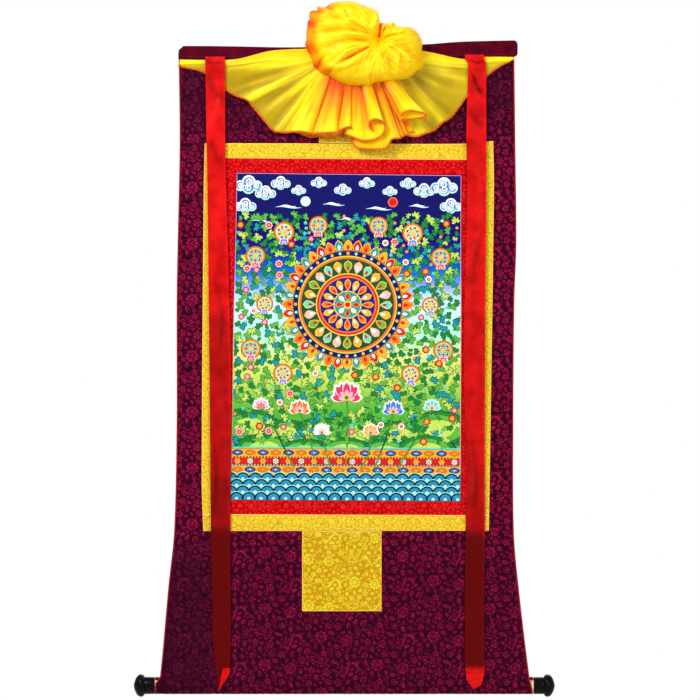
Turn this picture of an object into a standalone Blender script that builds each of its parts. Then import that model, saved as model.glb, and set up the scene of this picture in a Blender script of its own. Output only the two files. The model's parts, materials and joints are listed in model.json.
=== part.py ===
"""Thangka scroll painting with its roller: sewn panels, framed picture, silk veil, ribbons and knobs.

Metres, +Z up. The origin is the middle of the hanging edge, in the plane of the cloth's back face.
+X is the viewer's right and the viewer stands at -Y. Tables are in millimetres: x to the right, drop
down from the hanging edge, and lift forward from the cloth's back face towards the viewer.
"""
import math

import bmesh
import bpy
from mathutils import Vector

MM = 0.001

# Driving sizes
CLOTH_THICKNESS = 1.5 * MM
STRIP_THICKNESS = 1.9 * MM
CANVAS_THICKNESS = 1.2 * MM
BINDING_THICKNESS = 2.0 * MM
BINDING_WIDTH = 2.8 * MM
PATCH_THICKNESS = 1.1 * MM
SILK_THICKNESS = 1.2 * MM
RIBBON_THICKNESS = 1.0 * MM
SEAM_GAP = 0.3 * MM
PATCH_LIFT = 1.9 * MM
HEADING_BACK_LIFT = -2.5 * MM
HEADING_FRONT_LIFT = 4.5 * MM
HEADING_EDGE = 1.5 * MM
HEADING_SHOULDER = 3.0 * MM

ROLLER_RADIUS = 15.2 * MM
WRAP_INNER_RADIUS = 15.5 * MM
WRAP_ANGLE = math.radians(312.0)
AXIS_DROP = 1277.8 * MM
ROLLER_ENDS = (-385.0 * MM, 372.0 * MM)
ROLLER_SIDES = 24

RIDGE_STEPS = 2
FAN_STEPS = 8
PLEAT_STEPS = 4
SHARP_ANGLE = math.radians(40.0)

# Seam lines that run down the cloth: rows of (drop, x)
EDGE_LEFT = ((20, -337), (195, -335), (392, -339), (512, -341), (752, -341), (969, -346), (1075, -357),
             (1266, -375), (1278, -376.5), (1302, -381), (1325, -384.4), (1360, -384.4))
EDGE_RIGHT = ((20, 333), (195, 335), (392, 337), (512, 333), (752, 331), (969, 332), (1075, 341),
              (1266, 363), (1278, 365), (1302, 371), (1325, 371), (1360, 371))
YELLOW_LEFT = ((195, -285), (290, -287), (867, -291), (968, -288))
YELLOW_RIGHT = ((190, 291), (287, 292.4), (867, 283.8), (968, 282))
RED_LEFT = ((195, -255), (968, -259))
RED_RIGHT = ((190, 262), (968, 252))
PICTURE_LEFT = ((253, -222), (906, -234))
PICTURE_RIGHT = ((258, 228), (909, 226))

# Seam lines that run across the cloth: rows of (x, drop)
TOP_EDGE = ((-337, -0.4), (-230, 1), (-111, 3), (0, 0), (153, -3), (225, -8), (333, -11))
HEADING_SEAM = ((-337, 26.5), (333, 21.5))
# The heading from end to end: x, and how much its top and its bottom are cut down there
HEADING_STATIONS = ((-337.5, 14, 0.4), (-336.5, 8.5, 0), (-327.5, 0.6, 0), (-280, 0, 0), (-200, 0, 0),
                    (-111, 0, 0), (0, 0, 0), (90, 0, 0), (153, 0, 0), (225, 0, 0), (300, 0, 0),
                    (333, 0.2, 0), (337.5, 2.5, 1.5), (339.5, 8, 6))
YELLOW_TOP = ((-287, 194.2), (0, 195), (236, 195.2), (292, 189.6))
RED_TOP = ((-255, 224.2), (262, 228))
PICTURE_TOP = ((-222, 252.6), (228, 257.8))
PICTURE_BOTTOM = ((-234, 906.2), (226, 909))
RED_BOTTOM = ((-259, 934.8), (252, 936.6))
YELLOW_BOTTOM = ((-288, 968.4), (282, 967.8))
ROLLER_FRONT = ((-400, 1277.8), (400, 1277.8))

# Soft waves that the whole cloth hangs in: forward lift, waves across, waves down, phase in turns
WAVES = ((1.5, 1.15, 1.0, 0.12), (0.7, 2.3, 2.0, 0.43), (0.5, 3.1, 3.0, 0.81))
WAVE_WIDTH = 700 * MM
# Share of the hanging length over which the waves die away at the heading and at the roller
HELD_SHARE = 1 / 7

# Left edge, right edge and drops of the two patches that are sewn on the ground
DOOR_PATCH = {"left": (-91, -89), "right": (67.8, 67.8), "drops": (968.8, 1128.2)}
PATCH_STEPS = 6
TOP_PATCH = {"left": (-57, -57), "right": (53, 53), "drops": (112, 193.6)}

# Ribbons, down their length: drop, left edge, right edge, lift of the middle of the cloth
RIBBON_LEFT = ((22, -284, -244.4, 5.4), (25.5, -284, -244.4, 6.0), (30, -284, -244.4, 7.4),
               (36, -284, -244.2, 9.0), (39.5, -283.5, -244, 9.8), (44, -283.5, -244, 9.0),
               (62, -283, -244, 8.4), (167, -281.6, -244, 7.8), (287, -279.4, -242, 7.2),
               (447, -277.6, -237.5, 6.8),
               (607, -275.8, -233, 6.4), (787, -274.2, -233, 6.0), (967, -272.6, -233.4, 5.6),
               (1107, -269.8, -233, 5.2), (1187, -269, -233, 5.0), (1217, -264.2, -233.4, 4.9),
               (1241, -262.4, -234.2, 4.8), (1255, -261.2, -236.6, 4.7), (1277, -259.6, -250.4, 4.6),
               (1288, -258.7, -255.8, 4.7), (1289.4, -258.5, -256.3, 5.8), (1288, -258.3, -255.8, 6.9),
               (1277, -255.6, -250.4, 7.1), (1255, -251.4, -236.6, 7.2), (1241, -248.4, -234.2, 7.0))
RIBBON_RIGHT = ((18, 234.2, 272.6, 5.4), (21, 234.3, 272.7, 6.0), (26, 234.6, 272.9, 7.6),
                (31, 236.5, 274.5, 9.6), (35, 240, 276.4, 9.6), (48, 240, 276.4, 8.8),
                (80, 239.4, 276.6, 8.2), (167, 237, 277, 7.8), (287, 238.4, 277, 7.2),
                (447, 235.2, 275.8, 6.8),
                (597, 232, 274.6, 6.4), (787, 235, 274.1, 6.0), (969, 235.6, 274, 5.6),
                (1107, 234, 273, 5.2), (1187, 234, 273, 5.0), (1227, 234, 273.4, 4.9),
                (1247, 236, 273, 4.8), (1263, 237.8, 270.2, 4.7), (1275, 245, 266, 4.6),
                (1281.5, 249.6, 255.5, 4.7), (1283, 250.2, 253.4, 5.8), (1281.5, 249.6, 255.5, 6.9),
                (1275, 245, 266, 7.1), (1263, 237.8, 270.2, 7.2), (1252, 236.4, 272.8, 7.0))

# Stations across a ribbon from edge to edge, and how much fuller its middle hangs at full width
RIBBON_STEPS = (-1.0, -0.33, 0.33, 1.0)
RIBBON_HALF_WIDTH = 18
RIBBON_CROWN = 0.25

# The silk's own top edge, left and right of the rosette: rows of (x, drop)
SILK_TOP_LEFT = ((-335, 27.4), (-225, 27), (-155, 11), (-83, 7), (-60, 7))
SILK_TOP_RIGHT = ((120, 10), (151, 11), (234, 27), (273, 22.2), (332, 22.2))

# Folds of the silk, from its left corner round to its right one. Each runs from the hem to a gather
# point under the rosette: hem x, drop and lift, gather x, drop and lift, and how far the fold follows
# the silk's own top edge. High lifts are ridges and low ones troughs. Where x turns back, one fold
# lies behind another.
SILK_FOLDS = (
    (-335, 27.4, 2.6, -58, 12, 20, 1.0), (-335, 34, 3.6, -59, 17, 20, 0.8),
    (-333, 41, 2.7, -60, 22, 20, 0.45), (-287, 52, 3.9, -61, 27, 20, 0.2),
    (-243, 87, 2.9, -61, 31, 20, 0), (-223, 99, 4.6, -60, 35, 20, 0),
    (-201, 108, 10, -59, 39, 21, 0), (-187, 124, 4.2, -57, 42, 21, 0),
    (-169, 147, 9, -54, 45, 21, 0), (-153, 166, 5, -50, 48, 22, 0),
    (-133, 173, 12, -45, 50, 22, 0), (-113, 173, 7, -39, 52, 23, 0),
    (-89, 178, 18, -32, 55, 23, 0), (-69, 180, 9, -24, 58, 23, 0),
    (-49, 175, 22, -16, 61, 23, 0), (-35, 179, 12, -8, 64, 23, 0),
    (-19, 179, 24, 0, 67, 23, 0), (-7, 182, 13, 8, 69, 23, 0),
    (9, 193, 27, 17, 70, 23, 0), (23, 202, 15, 26, 71, 23, 0),
    (41, 208, 30, 35, 71, 23, 0), (58, 209, 17, 44, 70, 23, 0),
    (76, 207, 32, 53, 68, 23, 0), (92, 197, 19, 61, 66, 23, 0),
    (109, 186, 32, 69, 65, 23, 0), (123, 172, 21, 76, 65, 23, 0),
    (158, 150, 34, 84, 65, 25, 0), (157, 152, 27.5, 84, 65, 21, 0),
    (128, 164, 15.5, 79, 64, 19, 0), (128, 166, 10.5, 79, 64, 15, 0),
    (137, 181, 7.5, 88, 64, 14, 0), (155, 175, 11, 97, 64, 16, 0),
    (171, 169, 6.5, 106, 62, 17, 0), (187, 155, 9.5, 114, 60, 17, 0),
    (205, 146, 5.2, 121, 57, 17, 0), (214, 127, 7, 127, 53, 17, 0),
    (239, 100, 3.6, 131, 48, 17, 0), (279, 59, 2.9, 134, 42, 17, 0.2),
    (305, 40, 3.8, 136, 35, 17, 0.45), (332, 27, 2.7, 137, 27, 17, 0.8),
    (332, 22.2, 2.6, 138, 18, 17, 1.0))
# How fast a fold settles from its gather's lift to its hem's
SETTLE_RATE = 1.35
# Between the two x values the silk's top edge runs in front of the heading
OVER_HEADING = (-225 * MM, 234 * MM)
OVER_HEADING_LIFT = 7.4 * MM
OVER_HEADING_RAMP = 14 * MM
LEAST_FOLLOW = 0.3

# The rosette: its pleats meet at a pinch, and its outline runs round that pinch in points of (x, drop)
PINCH = (60, -7)
ROSETTE_OUTLINE = (
    (149, 7), (147, 40), (142, 54), (131, 65), (116, 71), (98, 72.5), (75, 72), (49, 79), (21, 81),
    (-5, 73), (-36, 61), (-58, 51), (-67, 39), (-63, 17), (-80, 7), (-81, -4), (-79, -26), (-76, -50),
    (-74, -70), (-65, -75), (-45, -81), (-25, -85), (5, -88), (29, -83), (55, -71), (61, -57), (65, -50),
    (74, -43), (95, -43), (105, -37), (129, -35), (145, -17))
ROSETTE_BACK_LIFT = 7.4 * MM
# From pinch to rim: share of the radius, lift of the pleats' mean, share of the pleats' height
ROSETTE_RINGS = ((0.1, 52, 0.5), (0.25, 62, 1.0), (0.45, 70, 1.0), (0.65, 69, 1.0), (0.82, 59, 0.9),
                 (0.94, 43, 0.7), (1.0, 22, 0.4))
PINCH_LIFT = 46 * MM
# Ridges of the pleats round the pinch: angle in degrees, anticlockwise from the right, and height
ROSETTE_RIDGES = ((6, 5), (29, 6), (60, 7), (86, 3), (113, 5), (134, 6), (149, 7), (163, 7.5), (177, 8),
                  (192, 7.5), (207, 8), (222, 8), (239, 6), (255, 7), (273, 8), (291, 6.5), (310, 7),
                  (329, 8), (346, 6))
RIDGE_TURN = math.radians(14.0)
# The pleats stand lower where the outline is near the pinch
WIDE_REACH = 130 * MM
NARROW_FALL = 0.18
BACK_SHARE = 0.97
# Lengths and shares under this one count as nothing
NO_LENGTH = 1e-9

# Turned outline of a knob: distance along from the roller's end, and radius
KNOB_PROFILE = ((0, 16.6), (0.6, 17), (19, 17), (20.5, 18.2), (23.5, 21.4), (26, 22.4), (29, 22.4),
                (32, 21.2), (35.5, 18), (38.5, 13.2), (40.8, 7.4), (41.8, 3))
KNOB_LENGTH = 42 * MM
KNOB_SIDES = 20

# Colours, roughness and metallic share, as linear values
FINISHES = {
    "maroon_damask": ((0.085, 0.0035, 0.04), 0.5, 0.0),
    "maroon_plain": ((0.075, 0.0025, 0.018), 0.6, 0.0),
    "yellow_brocade": ((0.84, 0.62, 0.035), 0.45, 0.0),
    "red_brocade": ((0.68, 0.006, 0.006), 0.45, 0.0),
    "painted_canvas": ((0.16, 0.3, 0.2), 0.75, 0.0),
    "yellow_silk": ((0.95, 0.6, 0.01), 0.35, 0.0),
    "red_satin": ((0.6, 0.008, 0.008), 0.35, 0.0),
    "red_binding": ((0.55, 0.01, 0.02), 0.5, 0.0),
    "pale_wood": ((0.72, 0.55, 0.34), 0.6, 0.0),
    "black_lacquer": ((0.004, 0.004, 0.007), 0.15, 0.0),
}


def clear_scene():
    for thing in list(bpy.data.objects):
        bpy.data.objects.remove(thing, do_unlink=True)


def finish(name):
    """The material of one finish, made once."""
    if name in bpy.data.materials:
        return bpy.data.materials[name]
    colour, roughness, metallic = FINISHES[name]
    material = bpy.data.materials.new(name)
    material.use_nodes = True
    shader = material.node_tree.nodes["Principled BSDF"]
    shader.inputs["Base Color"].default_value = (*colour, 1.0)
    shader.inputs["Roughness"].default_value = roughness
    shader.inputs["Metallic"].default_value = metallic
    return material


def place(name, mesh, finish_name):
    """Turns a closed bmesh into a named object with outward faces and its finish."""
    bmesh.ops.recalc_face_normals(mesh, faces=mesh.faces[:])
    data = bpy.data.meshes.new(name)
    mesh.to_mesh(data)
    mesh.free()
    data.materials.append(finish(finish_name))
    data.shade_smooth()
    data.set_sharp_from_angle(angle=SHARP_ANGLE)
    thing = bpy.data.objects.new(name, data)
    bpy.context.scene.collection.objects.link(thing)
    return thing


def along(rows, at):
    """Values at one station of a table, on a smooth curve through its rows of (station, value, ...).

    Past either end of the table the end row's values hold.
    """
    if at <= rows[0][0]:
        return rows[0][1:]
    if at >= rows[-1][0]:
        return rows[-1][1:]
    k = next(i for i in range(len(rows) - 1) if at <= rows[i + 1][0])
    before, low, high, after = rows[max(k - 1, 0)], rows[k], rows[k + 1], rows[min(k + 2, len(rows) - 1)]
    span = high[0] - low[0]
    t = (at - low[0]) / span
    values = []
    for i in range(1, len(low)):
        slope_in = (high[i] - before[i]) / (high[0] - before[0]) * span
        slope_out = (after[i] - low[i]) / (after[0] - low[0]) * span
        values.append((2 * t**3 - 3 * t**2 + 1) * low[i] + (t**3 - 2 * t**2 + t) * slope_in
                      + (3 * t**2 - 2 * t**3) * high[i] + (t**3 - t**2) * slope_out)
    return tuple(values)


def seam(rows, at):
    """One coordinate of a seam line, in metres, at a station in metres."""
    return along(rows, at / MM)[0] * MM


def ease(t):
    """0 to 1 with a soft start and end."""
    t = min(max(t, 0.0), 1.0)
    return t * t * (3 - 2 * t)


def billow(x, drop):
    """How far the hanging cloth stands forward of a flat plane: nothing at the heading and the roller."""
    hang = drop / AXIS_DROP
    if not 0 < hang < 1:
        return 0.0
    hold = ease(hang / HELD_SHARE) * ease((1 - hang) / HELD_SHARE)
    turn = math.tau * x / WAVE_WIDTH
    return hold * MM * sum(rise * math.sin(turn * across + math.tau * phase)
                           * math.sin(math.pi * down * hang + math.tau * phase)
                           for rise, across, down, phase in WAVES)


def on_cloth(x, drop, lift):
    """The point at a lift in front of the cloth's back face, past the roller's axis round the roller."""
    if drop <= AXIS_DROP:
        return Vector((x, -billow(x, drop) - lift, -drop))
    turn = (drop - AXIS_DROP) / (WRAP_INNER_RADIUS + CLOTH_THICKNESS / 2)
    reach = WRAP_INNER_RADIUS + lift
    return Vector((x, WRAP_INNER_RADIUS - reach * math.cos(turn), -AXIS_DROP - reach * math.sin(turn)))


def sheet_between(front, back):
    """A closed bmesh between two grids of points that match row for row."""
    mesh = bmesh.new()
    rows, columns = len(front), len(front[0])
    near = [[mesh.verts.new(point) for point in row] for row in front]
    far = [[mesh.verts.new(point) for point in row] for row in back]
    for r in range(rows - 1):
        for c in range(columns - 1):
            # Both sides are split along the same diagonal, so that a twisted face keeps its thickness
            mesh.faces.new((near[r][c], near[r + 1][c], near[r + 1][c + 1]))
            mesh.faces.new((near[r][c], near[r + 1][c + 1], near[r][c + 1]))
            mesh.faces.new((far[r][c], far[r + 1][c + 1], far[r + 1][c]))
            mesh.faces.new((far[r][c], far[r][c + 1], far[r + 1][c + 1]))
    for c in range(columns - 1):
        mesh.faces.new((near[0][c], near[0][c + 1], far[0][c + 1], far[0][c]))
        mesh.faces.new((near[-1][c + 1], near[-1][c], far[-1][c], far[-1][c + 1]))
    for r in range(rows - 1):
        mesh.faces.new((near[r + 1][0], near[r][0], far[r][0], far[r + 1][0]))
        mesh.faces.new((near[r][-1], near[r + 1][-1], far[r + 1][-1], far[r][-1]))
    return mesh


def tangent(line, k):
    """The direction of a line of points at one of them: the mean of the directions before and after it."""
    before = (line[k] - line[max(k - 1, 0)]).normalized()
    after = (line[min(k + 1, len(line) - 1)] - line[k]).normalized()
    return before + after


def thick_sheet(middle, thickness):
    """A closed bmesh of one thickness round a grid of points on the middle of the cloth."""
    rows = len(middle)
    columns = list(zip(*middle))
    front, back = [], []
    for r in range(rows):
        near, far = [], []
        for c, column in enumerate(columns):
            normal = tangent(column, r).cross(tangent(middle[r], c)).normalized()
            near.append(middle[r][c] + normal * thickness / 2)
            far.append(middle[r][c] - normal * thickness / 2)
        front.append(near)
        back.append(far)
    return sheet_between(front, back)


# The seam lines as a net. Each line has the number of steps that the cloth makes up to the next one.
DOWN_LINES = (("edge_left", EDGE_LEFT, 1), ("ground_left", EDGE_LEFT, 2), ("yellow_left", YELLOW_LEFT, 1),
              ("red_left", RED_LEFT, 1), ("picture_left", PICTURE_LEFT, 10),
              ("picture_right", PICTURE_RIGHT, 1), ("red_right", RED_RIGHT, 1),
              ("yellow_right", YELLOW_RIGHT, 2), ("ground_right", EDGE_RIGHT, 1),
              ("edge_right", EDGE_RIGHT, 0))
ACROSS_LINES = (("heading_seam", HEADING_SEAM, 5), ("yellow_top", YELLOW_TOP, 1), ("red_top", RED_TOP, 1),
                ("picture_top", PICTURE_TOP, 15), ("picture_bottom", PICTURE_BOTTOM, 1),
                ("red_bottom", RED_BOTTOM, 1), ("yellow_bottom", YELLOW_BOTTOM, 8),
                ("roller_front", ROLLER_FRONT, 14), ("wrap_end", None, 0))
BINDING_SHIFT = {"ground_left": BINDING_WIDTH, "ground_right": -BINDING_WIDTH}


def line_x(name, drop):
    rows = next(line[1] for line in DOWN_LINES if line[0] == name)
    return seam(rows, drop) + BINDING_SHIFT.get(name, 0.0)


def line_drop(name, x):
    if name == "wrap_end":
        return AXIS_DROP + WRAP_ANGLE * (WRAP_INNER_RADIUS + CLOTH_THICKNESS / 2)
    rows = next(line[1] for line in ACROSS_LINES if line[0] == name)
    return seam(rows, x)


def stations(lines, first, last):
    """(line, next line, share of the way) for each station of the net from one line to another."""
    names = [line[0] for line in lines]
    found = []
    for k in range(names.index(first), names.index(last)):
        steps = lines[k][2]
        found += [(names[k], names[k + 1], step / steps) for step in range(steps)]
    found.append((last, last, 0.0))
    return found


def net_point(across, down):
    """The (x, drop) where two stations of the net cross."""
    left, right, share_x = across
    above, below, share_drop = down
    x, drop = 0.0, 0.0
    for _ in range(4):
        drop = line_drop(above, x) * (1 - share_drop) + line_drop(below, x) * share_drop
        x = line_x(left, drop) * (1 - share_x) + line_x(right, drop) * share_x
    return x, drop


def net_sheet(name, left, right, above, below, thickness, finish_name):
    """One sewn piece between four seam lines, drawn in by half a seam gap on each side."""
    columns = stations(DOWN_LINES, left, right)
    rows = stations(ACROSS_LINES, above, below)
    front, back = [], []
    for r, down in enumerate(rows):
        near, far = [], []
        for c, across in enumerate(columns):
            x, drop = net_point(across, down)
            x += SEAM_GAP / 2 * ((c == 0) - (c == len(columns) - 1))
            drop += SEAM_GAP / 2 * ((r == 0) - (r == len(rows) - 1))
            near.append(on_cloth(x, drop, thickness))
            far.append(on_cloth(x, drop, 0.0))
        front.append(near)
        back.append(far)
    return place(name, sheet_between(front, back), finish_name)


def ground():
    net_sheet("top_panel", "ground_left", "ground_right", "heading_seam", "yellow_top", CLOTH_THICKNESS,
              "maroon_damask")
    net_sheet("side_panel_left", "ground_left", "yellow_left", "yellow_top", "yellow_bottom",
              CLOTH_THICKNESS, "maroon_damask")
    net_sheet("side_panel_right", "yellow_right", "ground_right", "yellow_top", "yellow_bottom",
              CLOTH_THICKNESS, "maroon_damask")
    net_sheet("bottom_panel", "ground_left", "ground_right", "yellow_bottom", "wrap_end",
              CLOTH_THICKNESS, "maroon_damask")
    net_sheet("edge_binding_left", "edge_left", "ground_left", "heading_seam", "wrap_end",
              BINDING_THICKNESS, "red_binding")
    net_sheet("edge_binding_right", "ground_right", "edge_right", "heading_seam", "wrap_end",
              BINDING_THICKNESS, "red_binding")


def frames_and_picture():
    net_sheet("yellow_strip_top", "yellow_left", "yellow_right", "yellow_top", "red_top",
              STRIP_THICKNESS, "yellow_brocade")
    net_sheet("yellow_strip_left", "yellow_left", "red_left", "red_top", "red_bottom",
              STRIP_THICKNESS, "yellow_brocade")
    net_sheet("yellow_strip_right", "red_right", "yellow_right", "red_top", "red_bottom",
              STRIP_THICKNESS, "yellow_brocade")
    net_sheet("yellow_strip_bottom", "yellow_left", "yellow_right", "red_bottom", "yellow_bottom",
              STRIP_THICKNESS, "yellow_brocade")
    net_sheet("red_strip_top", "red_left", "red_right", "red_top", "picture_top",
              STRIP_THICKNESS, "red_brocade")
    net_sheet("red_strip_left", "red_left", "picture_left", "picture_top", "picture_bottom",
              STRIP_THICKNESS, "red_brocade")
    net_sheet("red_strip_right", "picture_right", "red_right", "picture_top", "picture_bottom",
              STRIP_THICKNESS, "red_brocade")
    net_sheet("red_strip_bottom", "red_left", "red_right", "picture_bottom", "red_bottom",
              STRIP_THICKNESS, "red_brocade")
    net_sheet("picture_canvas", "picture_left", "picture_right", "picture_top", "picture_bottom",
              CANVAS_THICKNESS, "painted_canvas")


def patch(name, shape):
    """A patch sewn flat on the ground cloth, on the same waves."""
    steps = PATCH_STEPS
    front, back = [], []
    top, bottom = shape["drops"]
    for r in range(steps + 1):
        down = r / steps
        left = shape["left"][0] * (1 - down) + shape["left"][1] * down
        right = shape["right"][0] * (1 - down) + shape["right"][1] * down
        drop = (top * (1 - down) + bottom * down) * MM
        xs = [(left + (right - left) * c / steps) * MM for c in range(steps + 1)]
        front.append([on_cloth(x, drop, PATCH_LIFT + PATCH_THICKNESS) for x in xs])
        back.append([on_cloth(x, drop, PATCH_LIFT) for x in xs])
    return place(name, sheet_between(front, back), "yellow_brocade")


def heading():
    """The top sleeve over its lath: flat back, rounded front, cut left corner and blunt right end."""
    mesh = bmesh.new()
    loops = []
    back, front = HEADING_BACK_LIFT, HEADING_FRONT_LIFT
    for x, top_cut, bottom_cut in HEADING_STATIONS:
        top = (along(TOP_EDGE, x)[0] + top_cut) * MM
        bottom = seam(HEADING_SEAM, x * MM) - SEAM_GAP / 2 - bottom_cut * MM
        outline = ((back, bottom), (front - HEADING_EDGE, bottom), (front, bottom - HEADING_EDGE),
                   (front, top + HEADING_SHOULDER), (front - HEADING_EDGE, top + HEADING_EDGE / 2),
                   (front - HEADING_SHOULDER, top), (back, top))
        loops.append([mesh.verts.new((x * MM, -lift, -drop)) for lift, drop in outline])
    count = len(loops[0])
    for near, far in zip(loops, loops[1:]):
        for k in range(count):
            mesh.faces.new((near[k], near[(k + 1) % count], far[(k + 1) % count], far[k]))
    mesh.faces.new(loops[0])
    mesh.faces.new(list(reversed(loops[-1])))
    return place("heading", mesh, "maroon_plain")


def ribbon(name, rows):
    """A hanging ribbon, down its table and back up the folded tip, a little fuller in its middle."""
    middle = []
    for drop, left, right, lift in rows:
        centre, half = (left + right) / 2, (right - left) / 2
        crown = RIBBON_CROWN * min(half / RIBBON_HALF_WIDTH, 1)
        middle.append([Vector(((centre + half * t) * MM, -(lift + crown * (1 - t * t)) * MM, -drop * MM))
                       for t in RIBBON_STEPS])
    return place(name, thick_sheet(middle, RIBBON_THICKNESS), "red_satin")


def silk_point(fold, out):
    """A point on the silk: fold is a place in the table of folds, and out runs from gather 0 to hem 1."""
    k = min(int(fold), len(SILK_FOLDS) - 2)
    t = fold - k
    a, b = SILK_FOLDS[k], SILK_FOLDS[k + 1]
    hem_x, hem_drop, gather_x, gather_drop = (a[i] * (1 - t) + b[i] * t for i in (0, 1, 3, 4))
    hem_lift, gather_lift, follow = (a[i] * (1 - ease(t)) + b[i] * ease(t) for i in (2, 5, 6))
    x = (gather_x * (1 - out) + hem_x * out) * MM
    drop = (gather_drop * (1 - out) + hem_drop * out) * MM
    left = fold < len(SILK_FOLDS) / 2
    top = SILK_TOP_LEFT if left else SILK_TOP_RIGHT
    first = SILK_FOLDS[0] if left else SILK_FOLDS[-1]
    share = min(max((x / MM - first[3]) / (first[0] - first[3]), 0), 1)
    straight = first[4] + (first[1] - first[4]) * share
    drop += follow * (along(top, x / MM)[0] - straight) * MM
    settle = ease(out * SETTLE_RATE)
    lift = (gather_lift * (1 - settle) + hem_lift * settle) * MM
    if follow > LEAST_FOLLOW and OVER_HEADING[0] < x < OVER_HEADING[1]:
        inner = min(x - OVER_HEADING[0], OVER_HEADING[1] - x) / OVER_HEADING_RAMP
        lift = max(lift, OVER_HEADING_LIFT * ease(inner))
    return Vector((x, -lift, -drop))


def silk_swag():
    """The silk from its gathers out to its hem, as one closed sheet."""
    folds = [k / RIDGE_STEPS for k in range((len(SILK_FOLDS) - 1) * RIDGE_STEPS + 1)]
    middle = [[silk_point(fold, out / FAN_STEPS) for fold in folds] for out in range(FAN_STEPS + 1)]
    return place("silk_swag", thick_sheet(middle, SILK_THICKNESS), "yellow_silk")


def outline_reach(angle):
    """How far the rosette's outline lies from the pinch at an angle, on the straight runs of its table."""
    heading_x, heading_z = math.cos(angle), math.sin(angle)
    best = 0.0
    corners = [(x - PINCH[0], PINCH[1] - drop) for x, drop in ROSETTE_OUTLINE]
    for (ax, az), (bx, bz) in zip(corners, corners[1:] + corners[:1]):
        cross = (bx - ax) * heading_z - (bz - az) * heading_x
        if abs(cross) < NO_LENGTH:
            continue
        t = (az * heading_x - ax * heading_z) / cross
        reach = ((bx - ax) * az - (bz - az) * ax) / cross
        if -NO_LENGTH <= t <= 1 + NO_LENGTH and reach > best:
            best = reach
    return best * MM


def pleat_stations():
    """(angle, height) round the pinch, with a station on each ridge, in each trough and between them."""
    found = []
    for k, (degrees, height) in enumerate(ROSETTE_RIDGES):
        after_degrees, after_height = ROSETTE_RIDGES[(k + 1) % len(ROSETTE_RIDGES)]
        gap = (after_degrees - degrees) % 360
        for step in range(PLEAT_STEPS):
            t = step / PLEAT_STEPS
            mean = height * (1 - t) + after_height * t
            rise = mean * (abs(math.cos(math.pi * t)) - 0.5)
            found.append((math.radians(degrees + gap * t), rise * MM))
    return found


def rosette():
    """The bunched middle of the silk: pleats that run round from the pinch and fall to the outline."""
    mesh = bmesh.new()
    pinch_x, pinch_z = PINCH[0] * MM, -PINCH[1] * MM
    pinch = mesh.verts.new((pinch_x, -PINCH_LIFT, pinch_z))
    pleats = pleat_stations()
    rings = []
    for share, lift, height in ROSETTE_RINGS:
        ring = []
        for degrees, rise in pleats:
            angle = degrees - RIDGE_TURN * (1 - share)
            full = outline_reach(angle)
            fall = 1 - NARROW_FALL * (1 - min(full / WIDE_REACH, 1))
            ring.append(mesh.verts.new((pinch_x + full * share * math.cos(angle),
                                        -lift * MM * fall - rise * height,
                                        pinch_z + full * share * math.sin(angle))))
        rings.append(ring)
    back = [mesh.verts.new((pinch_x + (v.co.x - pinch_x) * BACK_SHARE, -ROSETTE_BACK_LIFT,
                            pinch_z + (v.co.z - pinch_z) * BACK_SHARE)) for v in rings[-1]]
    rings.append(back)
    for k in range(len(pleats)):
        after = (k + 1) % len(pleats)
        mesh.faces.new((pinch, rings[0][k], rings[0][after]))
        for inner, outer in zip(rings, rings[1:]):
            mesh.faces.new((inner[k], outer[k], outer[after], inner[after]))
    mesh.faces.new(list(reversed(back)))
    return place("silk_rosette", mesh, "yellow_silk")


def silk_veil():
    """Swag and rosette are one silk, so they are joined in one solid."""
    veil = rosette()
    swag = silk_swag()
    veil.name = "silk_veil"
    join = veil.modifiers.new("join", "BOOLEAN")
    join.operation = "UNION"
    join.solver = "EXACT"
    join.object = swag
    swag.hide_render = True
    swag.display_type = "WIRE"
    return veil


def roller():
    """The plain wooden rod inside the wrapped cloth."""
    mesh = bmesh.new()
    length = ROLLER_ENDS[1] - ROLLER_ENDS[0]
    bmesh.ops.create_cone(mesh, cap_ends=True, segments=ROLLER_SIDES, radius1=ROLLER_RADIUS,
                          radius2=ROLLER_RADIUS, depth=length)
    rod = place("roller", mesh, "pale_wood")
    rod.rotation_euler = (0.0, math.radians(90.0), 0.0)
    rod.location = (sum(ROLLER_ENDS) / 2, WRAP_INNER_RADIUS, -AXIS_DROP)
    return rod


def knob(name, end, outward):
    """A turned knob on one end of the roller."""
    mesh = bmesh.new()
    rings = []
    for distance, radius in KNOB_PROFILE:
        ring = [mesh.verts.new((distance * MM * outward, radius * MM * math.cos(math.tau * k / KNOB_SIDES),
                                radius * MM * math.sin(math.tau * k / KNOB_SIDES)))
                for k in range(KNOB_SIDES)]
        rings.append(ring)
    tip = mesh.verts.new((KNOB_LENGTH * outward, 0.0, 0.0))
    for k in range(KNOB_SIDES):
        after = (k + 1) % KNOB_SIDES
        for inner, outer in zip(rings, rings[1:]):
            mesh.faces.new((inner[k], inner[after], outer[after], outer[k]))
        mesh.faces.new((rings[-1][k], rings[-1][after], tip))
    mesh.faces.new(rings[0])
    turned = place(name, mesh, "black_lacquer")
    turned.location = (end + SEAM_GAP * outward, WRAP_INNER_RADIUS, -AXIS_DROP)
    return turned


def main():
    clear_scene()
    ground()
    frames_and_picture()
    patch("door_patch", DOOR_PATCH)
    patch("top_patch", TOP_PATCH)
    heading()
    silk_veil()
    ribbon("ribbon_left", RIBBON_LEFT)
    ribbon("ribbon_right", RIBBON_RIGHT)
    roller()
    knob("knob_left", ROLLER_ENDS[0], -1)
    knob("knob_right", ROLLER_ENDS[1], 1)


main()
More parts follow.
